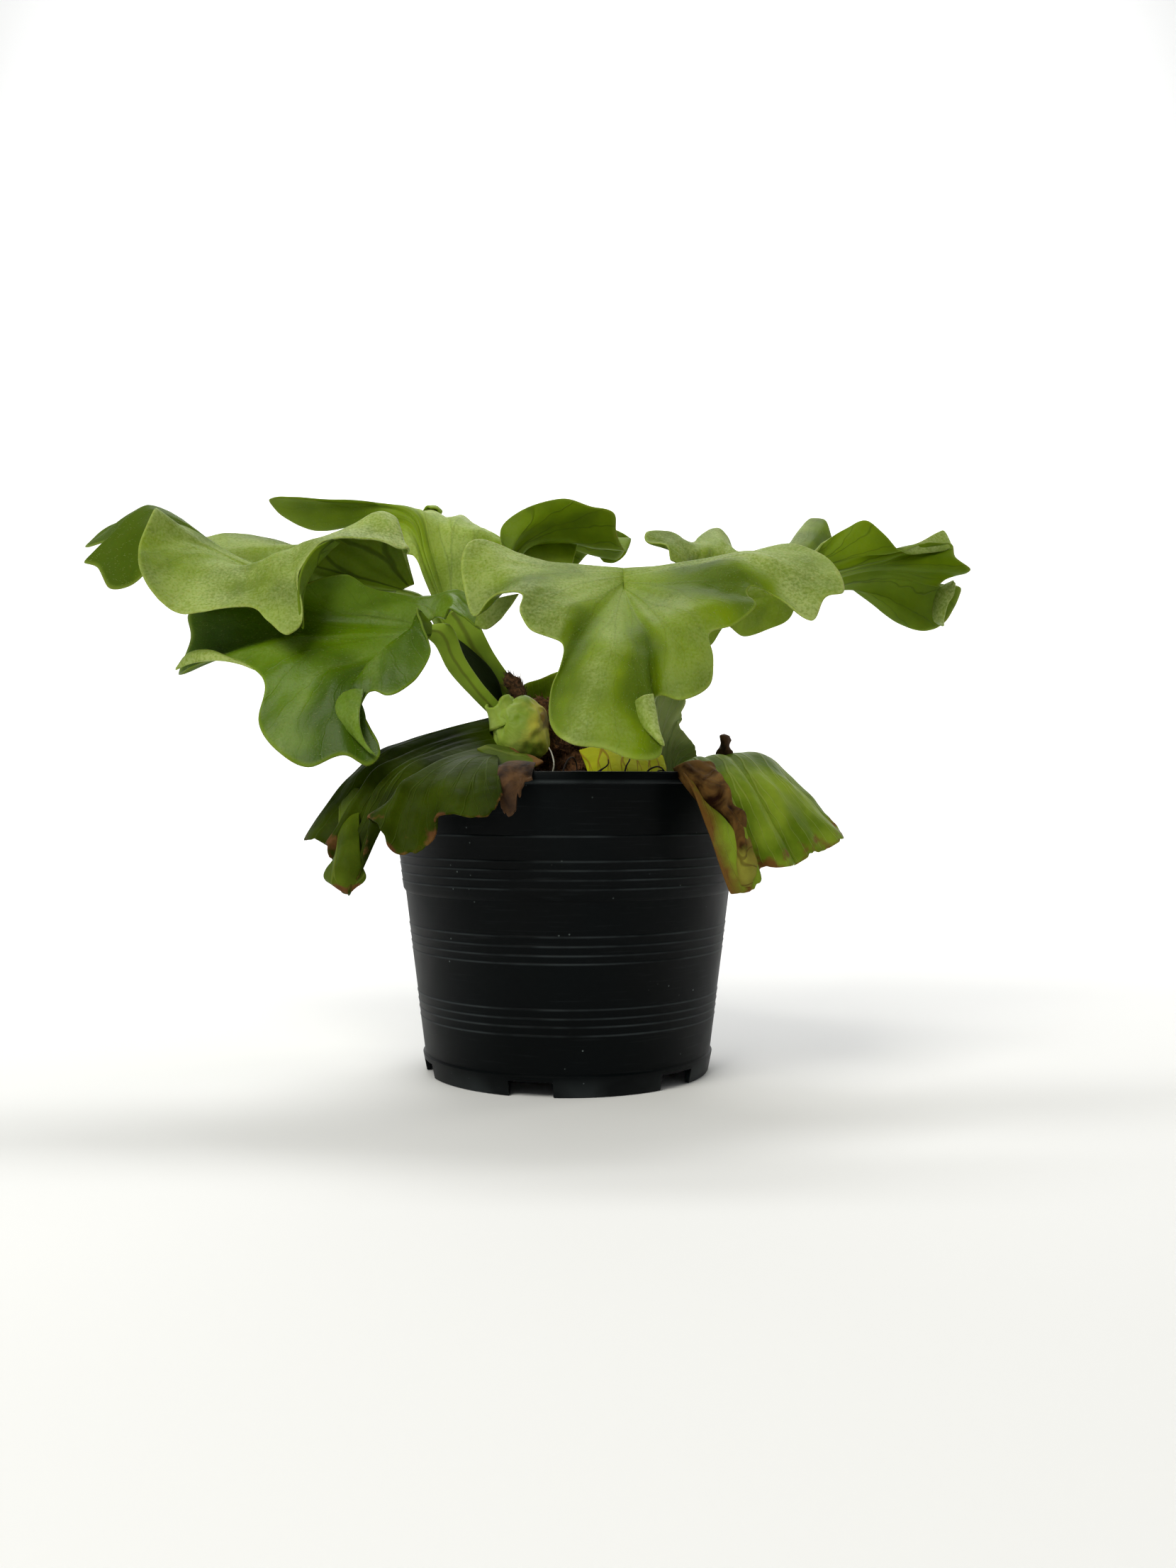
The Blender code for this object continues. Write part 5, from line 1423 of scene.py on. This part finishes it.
def young_shield_skin():
    """A young shield: tight pale green, going yellow and then tan to one side, with fine wrinkles."""
    mat, tree = blank_material("young_shield")
    place = add(tree, "TexCoord", out="Object")
    cloud = add(tree, "TexNoise", Vector=place, Scale=every(9.1), Detail=4.0)
    tone = add(tree, "MapRange", i0=cloud, i1=0.3, i2=0.7)
    colour = add(tree, "Mix", RGBA, out=2, i0=tone, i6=linear("#84a024"), i7=linear("#a6bc52"))
    side = add(tree, "SeparateXYZ", out="X", i0=place)
    wavy = add(tree, "MapRange", i0=cloud, i1=0.3, i2=0.7, i3=-4 * MM, i4=4 * MM)
    side = add(tree, "Math", ADD, i0=side, i1=wavy)
    yellow = add(tree, "MapRange", i0=side, i1=-14.5 * MM, i2=-8.5 * MM)
    colour = add(tree, "Mix", RGBA, out=2, i0=yellow, i6=colour, i7=linear("#d0c94e"))
    brown = add(tree, "MapRange", i0=side, i1=-7.5 * MM, i2=-5.5 * MM)
    colour = add(tree, "Mix", RGBA, out=2, i0=brown, i6=colour, i7=linear("#8a7234"))
    fold = add(tree, "TexNoise", Vector=place, Scale=every(5.26), Detail=3.0, Distortion=1.5)
    bump = add(tree, "Bump", Strength=0.45, Distance=0.8 * MM, Height=fold)
    shade(
        tree, colour, 0.45, Normal=bump, Specular_IOR_Level=0.25, Subsurface_Weight=0.1,
        Subsurface_Scale=2 * MM,
    )
    return mat


young_skin = young_shield_skin()
bm = bmesh.new()
bmesh.ops.create_icosphere(bm, subdivisions=6, radius=1.0)
middle = seen(*YOUNG_MIDDLE)
for vert in bm.verts:
    n = vert.co.copy()
    swell = 1 + 0.03 * math.sin(4 * n.x + 1) * math.cos(5 * n.z) - 0.02 * math.cos(6 * n.x + 3 * n.z)
    fold = noise.noise(n * 1.5 + Vector((3, 0, 0))) * 0.08
    wrinkle = noise.noise(n * 2.4 + Vector((0, 5, 0))) ** 2 * 0.2 - 0.02
    vert.co = middle + Vector([a * b for a, b in zip(n, YOUNG_SIZE)]) * (swell + fold - wrinkle) * MM
young = put("young_shield", bm, [young_skin])
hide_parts("shield_young")

bm = bmesh.new()
bmesh.ops.create_grid(bm, x_segments=72, y_segments=8, size=0.5)
turn = Vector(COLLAR_AXIS).to_track_quat("Z", "Y")
for vert in bm.verts:
    angle = (vert.co.x + 0.5) * math.tau
    up = vert.co.y + 0.5
    frill = 0.6 * math.sin(4 * angle) + 0.35 * math.sin(9 * angle + 1)
    radius = COLLAR_RADIUS + COLLAR_FLARE * (1 - up) ** 1.5 + frill * up * 0.9
    height = COLLAR_FOOT + COLLAR_HEIGHT * up + math.sin(3 * angle + 0.5) * up
    out = turn @ Vector((math.cos(angle) * radius, math.sin(angle) * radius * 0.9, height))
    vert.co = seen(*COLLAR_MIDDLE) + out * MM
bmesh.ops.remove_doubles(bm, verts=bm.verts, dist=2 * MERGE)
bmesh.ops.recalc_face_normals(bm, faces=bm.faces)
collar = put("young_shield_collar", bm, [young_skin])
wall = collar.modifiers.new("wall", "SOLIDIFY")
wall.thickness = COLLAR_WALL * MM
settle(collar)

# The dead parts: a stub of a lost frond on the crown, one on the right shield, and a scrap of old shield
# that hangs over the rim. They are dry, brown and fibrous like crumpled paper.
STUB_ON_CROWN = [
    (-14, 4, 125, 2.4), (-16.5, 3, 131, 2.4), (-19, 2, 136, 2.7), (-21, 1.5, 140, 2.0),
    (-21.5, 1.5, 141.5, 0.8),
]
STUB_ON_SHIELD = [
    (53.5, -26, 111.2, 2.2), (53.6, -26, 113, 2.5), (54, -26, 115, 1.7), (54.6, -26, 117, 1.9),
    (55, -26, 118, 1.0),
]
# Dry stub: dark brown broken by tan fibres, dull.
stub_skin = crumbly("dry_stub_skin", "#33200f", "#8f6440", 1.1)
rough_rod = rod(STUB_ON_CROWN, sides=24, steps=8, lump=0.9)
stub = put("crown_stub", rough_rod, [stub_skin], soft_angle=50)
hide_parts("dead_stub_crown")
slivers(
    "crown_stub_fibres", spots_on(stub, count=260, seed=8), length=3.0 * MM, width=0.35 * MM, lift=0.3,
    heading=Vector((-0.4, -0.2, 0.9)), material=stub_skin, seed=9,
)
rough_rod = rod(STUB_ON_SHIELD, sides=24, steps=8, lump=0.9)
stub = put("shield_stub", rough_rod, [dead_leaf], soft_angle=50)
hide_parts("dead_stub_right")

VEINS = [
    [(-25.5, -55, 106.5), (-25, -65, 107.2), (-25.5, -69.5, 102), (-26.3, -71, 97)],
    [(-22, -54, 109), (-22, -65, 107.6), (-22, -70.5, 101.5), (-21.5, -71.5, 89.5)],
    [(-18.5, -53, 109.6), (-18.5, -64, 107.8), (-18.6, -70, 102), (-18.4, -71, 92)],
    [(-15.5, -54, 109.3), (-15.3, -63, 108.2), (-15.6, -69, 104.5), (-16, -70, 102)],
    [(-11.5, -55, 108.8), (-12, -62, 107.6), (-12.8, -67, 105.6), (-13, -68.5, 104.5)],
]
grow_shield("dead_scrap", VEINS, (4, 6, 8), dead_leaf, flip=True, crumple=2.4, tear=0.3)

# The studio: a pale floor that curves up behind, soft light from the upper left, weak light from both sides
# behind, and a level view. Sizes are in metres here.
FLOOR_WIDTH = 9.0
FLOOR_TOP = -0.0002
FLOOR_FRONT = -3.5
FLOOR_LENGTH = 4.1
FLOOR_BEND = 2.4
FLAT_SHARE = 0.4
LENS = 30.9
bm = bmesh.new()
bmesh.ops.create_grid(bm, x_segments=2, y_segments=40, size=0.5)
for vert in bm.verts:
    part = vert.co.y + 0.5
    bend = max(0.0, part - FLAT_SHARE) / (1 - FLAT_SHARE) * math.pi / 2
    vert.co.x *= FLOOR_WIDTH
    vert.co.y = FLOOR_FRONT + FLOOR_LENGTH * min(part / FLAT_SHARE, 1.0) + FLOOR_BEND * math.sin(bend)
    vert.co.z = FLOOR_TOP + FLOOR_BEND * (1 - math.cos(bend))
mesh = bpy.data.meshes.new("floor")
bm.to_mesh(mesh)
bm.free()
mesh.shade_smooth()
floor_paint, tree = blank_material("pale_floor")
shade(tree, linear("#f6f6f5"), 0.9)
mesh.materials.append(floor_paint)
floor = bpy.data.objects.new("floor", mesh)
bpy.context.scene.collection.objects.link(floor)


def soft_light(name, place, aim, size, power, colour):
    """A square soft light at a place, turned to its aim."""
    light = bpy.data.lights.new(name, "AREA")
    light.size = size
    light.energy = power
    light.color = linear(colour)[:3]
    lamp = bpy.data.objects.new(name, light)
    lamp.location = place
    lamp.rotation_mode = "QUATERNION"
    lamp.rotation_quaternion = (Vector(aim) - Vector(place)).to_track_quat("-Z", "Y")
    bpy.context.scene.collection.objects.link(lamp)


soft_light("window", (-0.45, -0.75, 1.0), (0, 0, 0.14), size=0.6, power=9.5, colour="#fffdf4")
soft_light("left_window", (-1.2, 0.4, 0.35), (0, 0, 0.1), size=0.6, power=1.4, colour="#f4f8ff")
soft_light("right_window", (1.1, 0.45, 0.6), (0, 0, 0.1), size=0.4, power=2.0, colour="#fffaf0")
soft_light("backdrop_light", (0, 1.2, 2.2), (0, 2.9, 0.5), size=1.6, power=75.0, colour="#ffffff")
world = bpy.data.worlds.new("room")
world.use_nodes = True
bpy.context.scene.world = world
sky = world.node_tree.nodes["Background"]
sky.inputs["Color"].default_value = linear("#f2f5f7")
sky.inputs["Strength"].default_value = 0.25

bpy.context.scene.view_settings.view_transform = "Standard"
camera = bpy.data.cameras.new("camera")
camera.lens = LENS
camera.clip_start = 0.01
eye = bpy.data.objects.new("camera", camera)
eye.location = (EYE_SIDE * MM, -EYE_DISTANCE * MM, EYE_HEIGHT * MM)
eye.rotation_euler = (math.pi / 2, 0, 0)
bpy.context.scene.collection.objects.link(eye)
bpy.context.scene.camera = eye
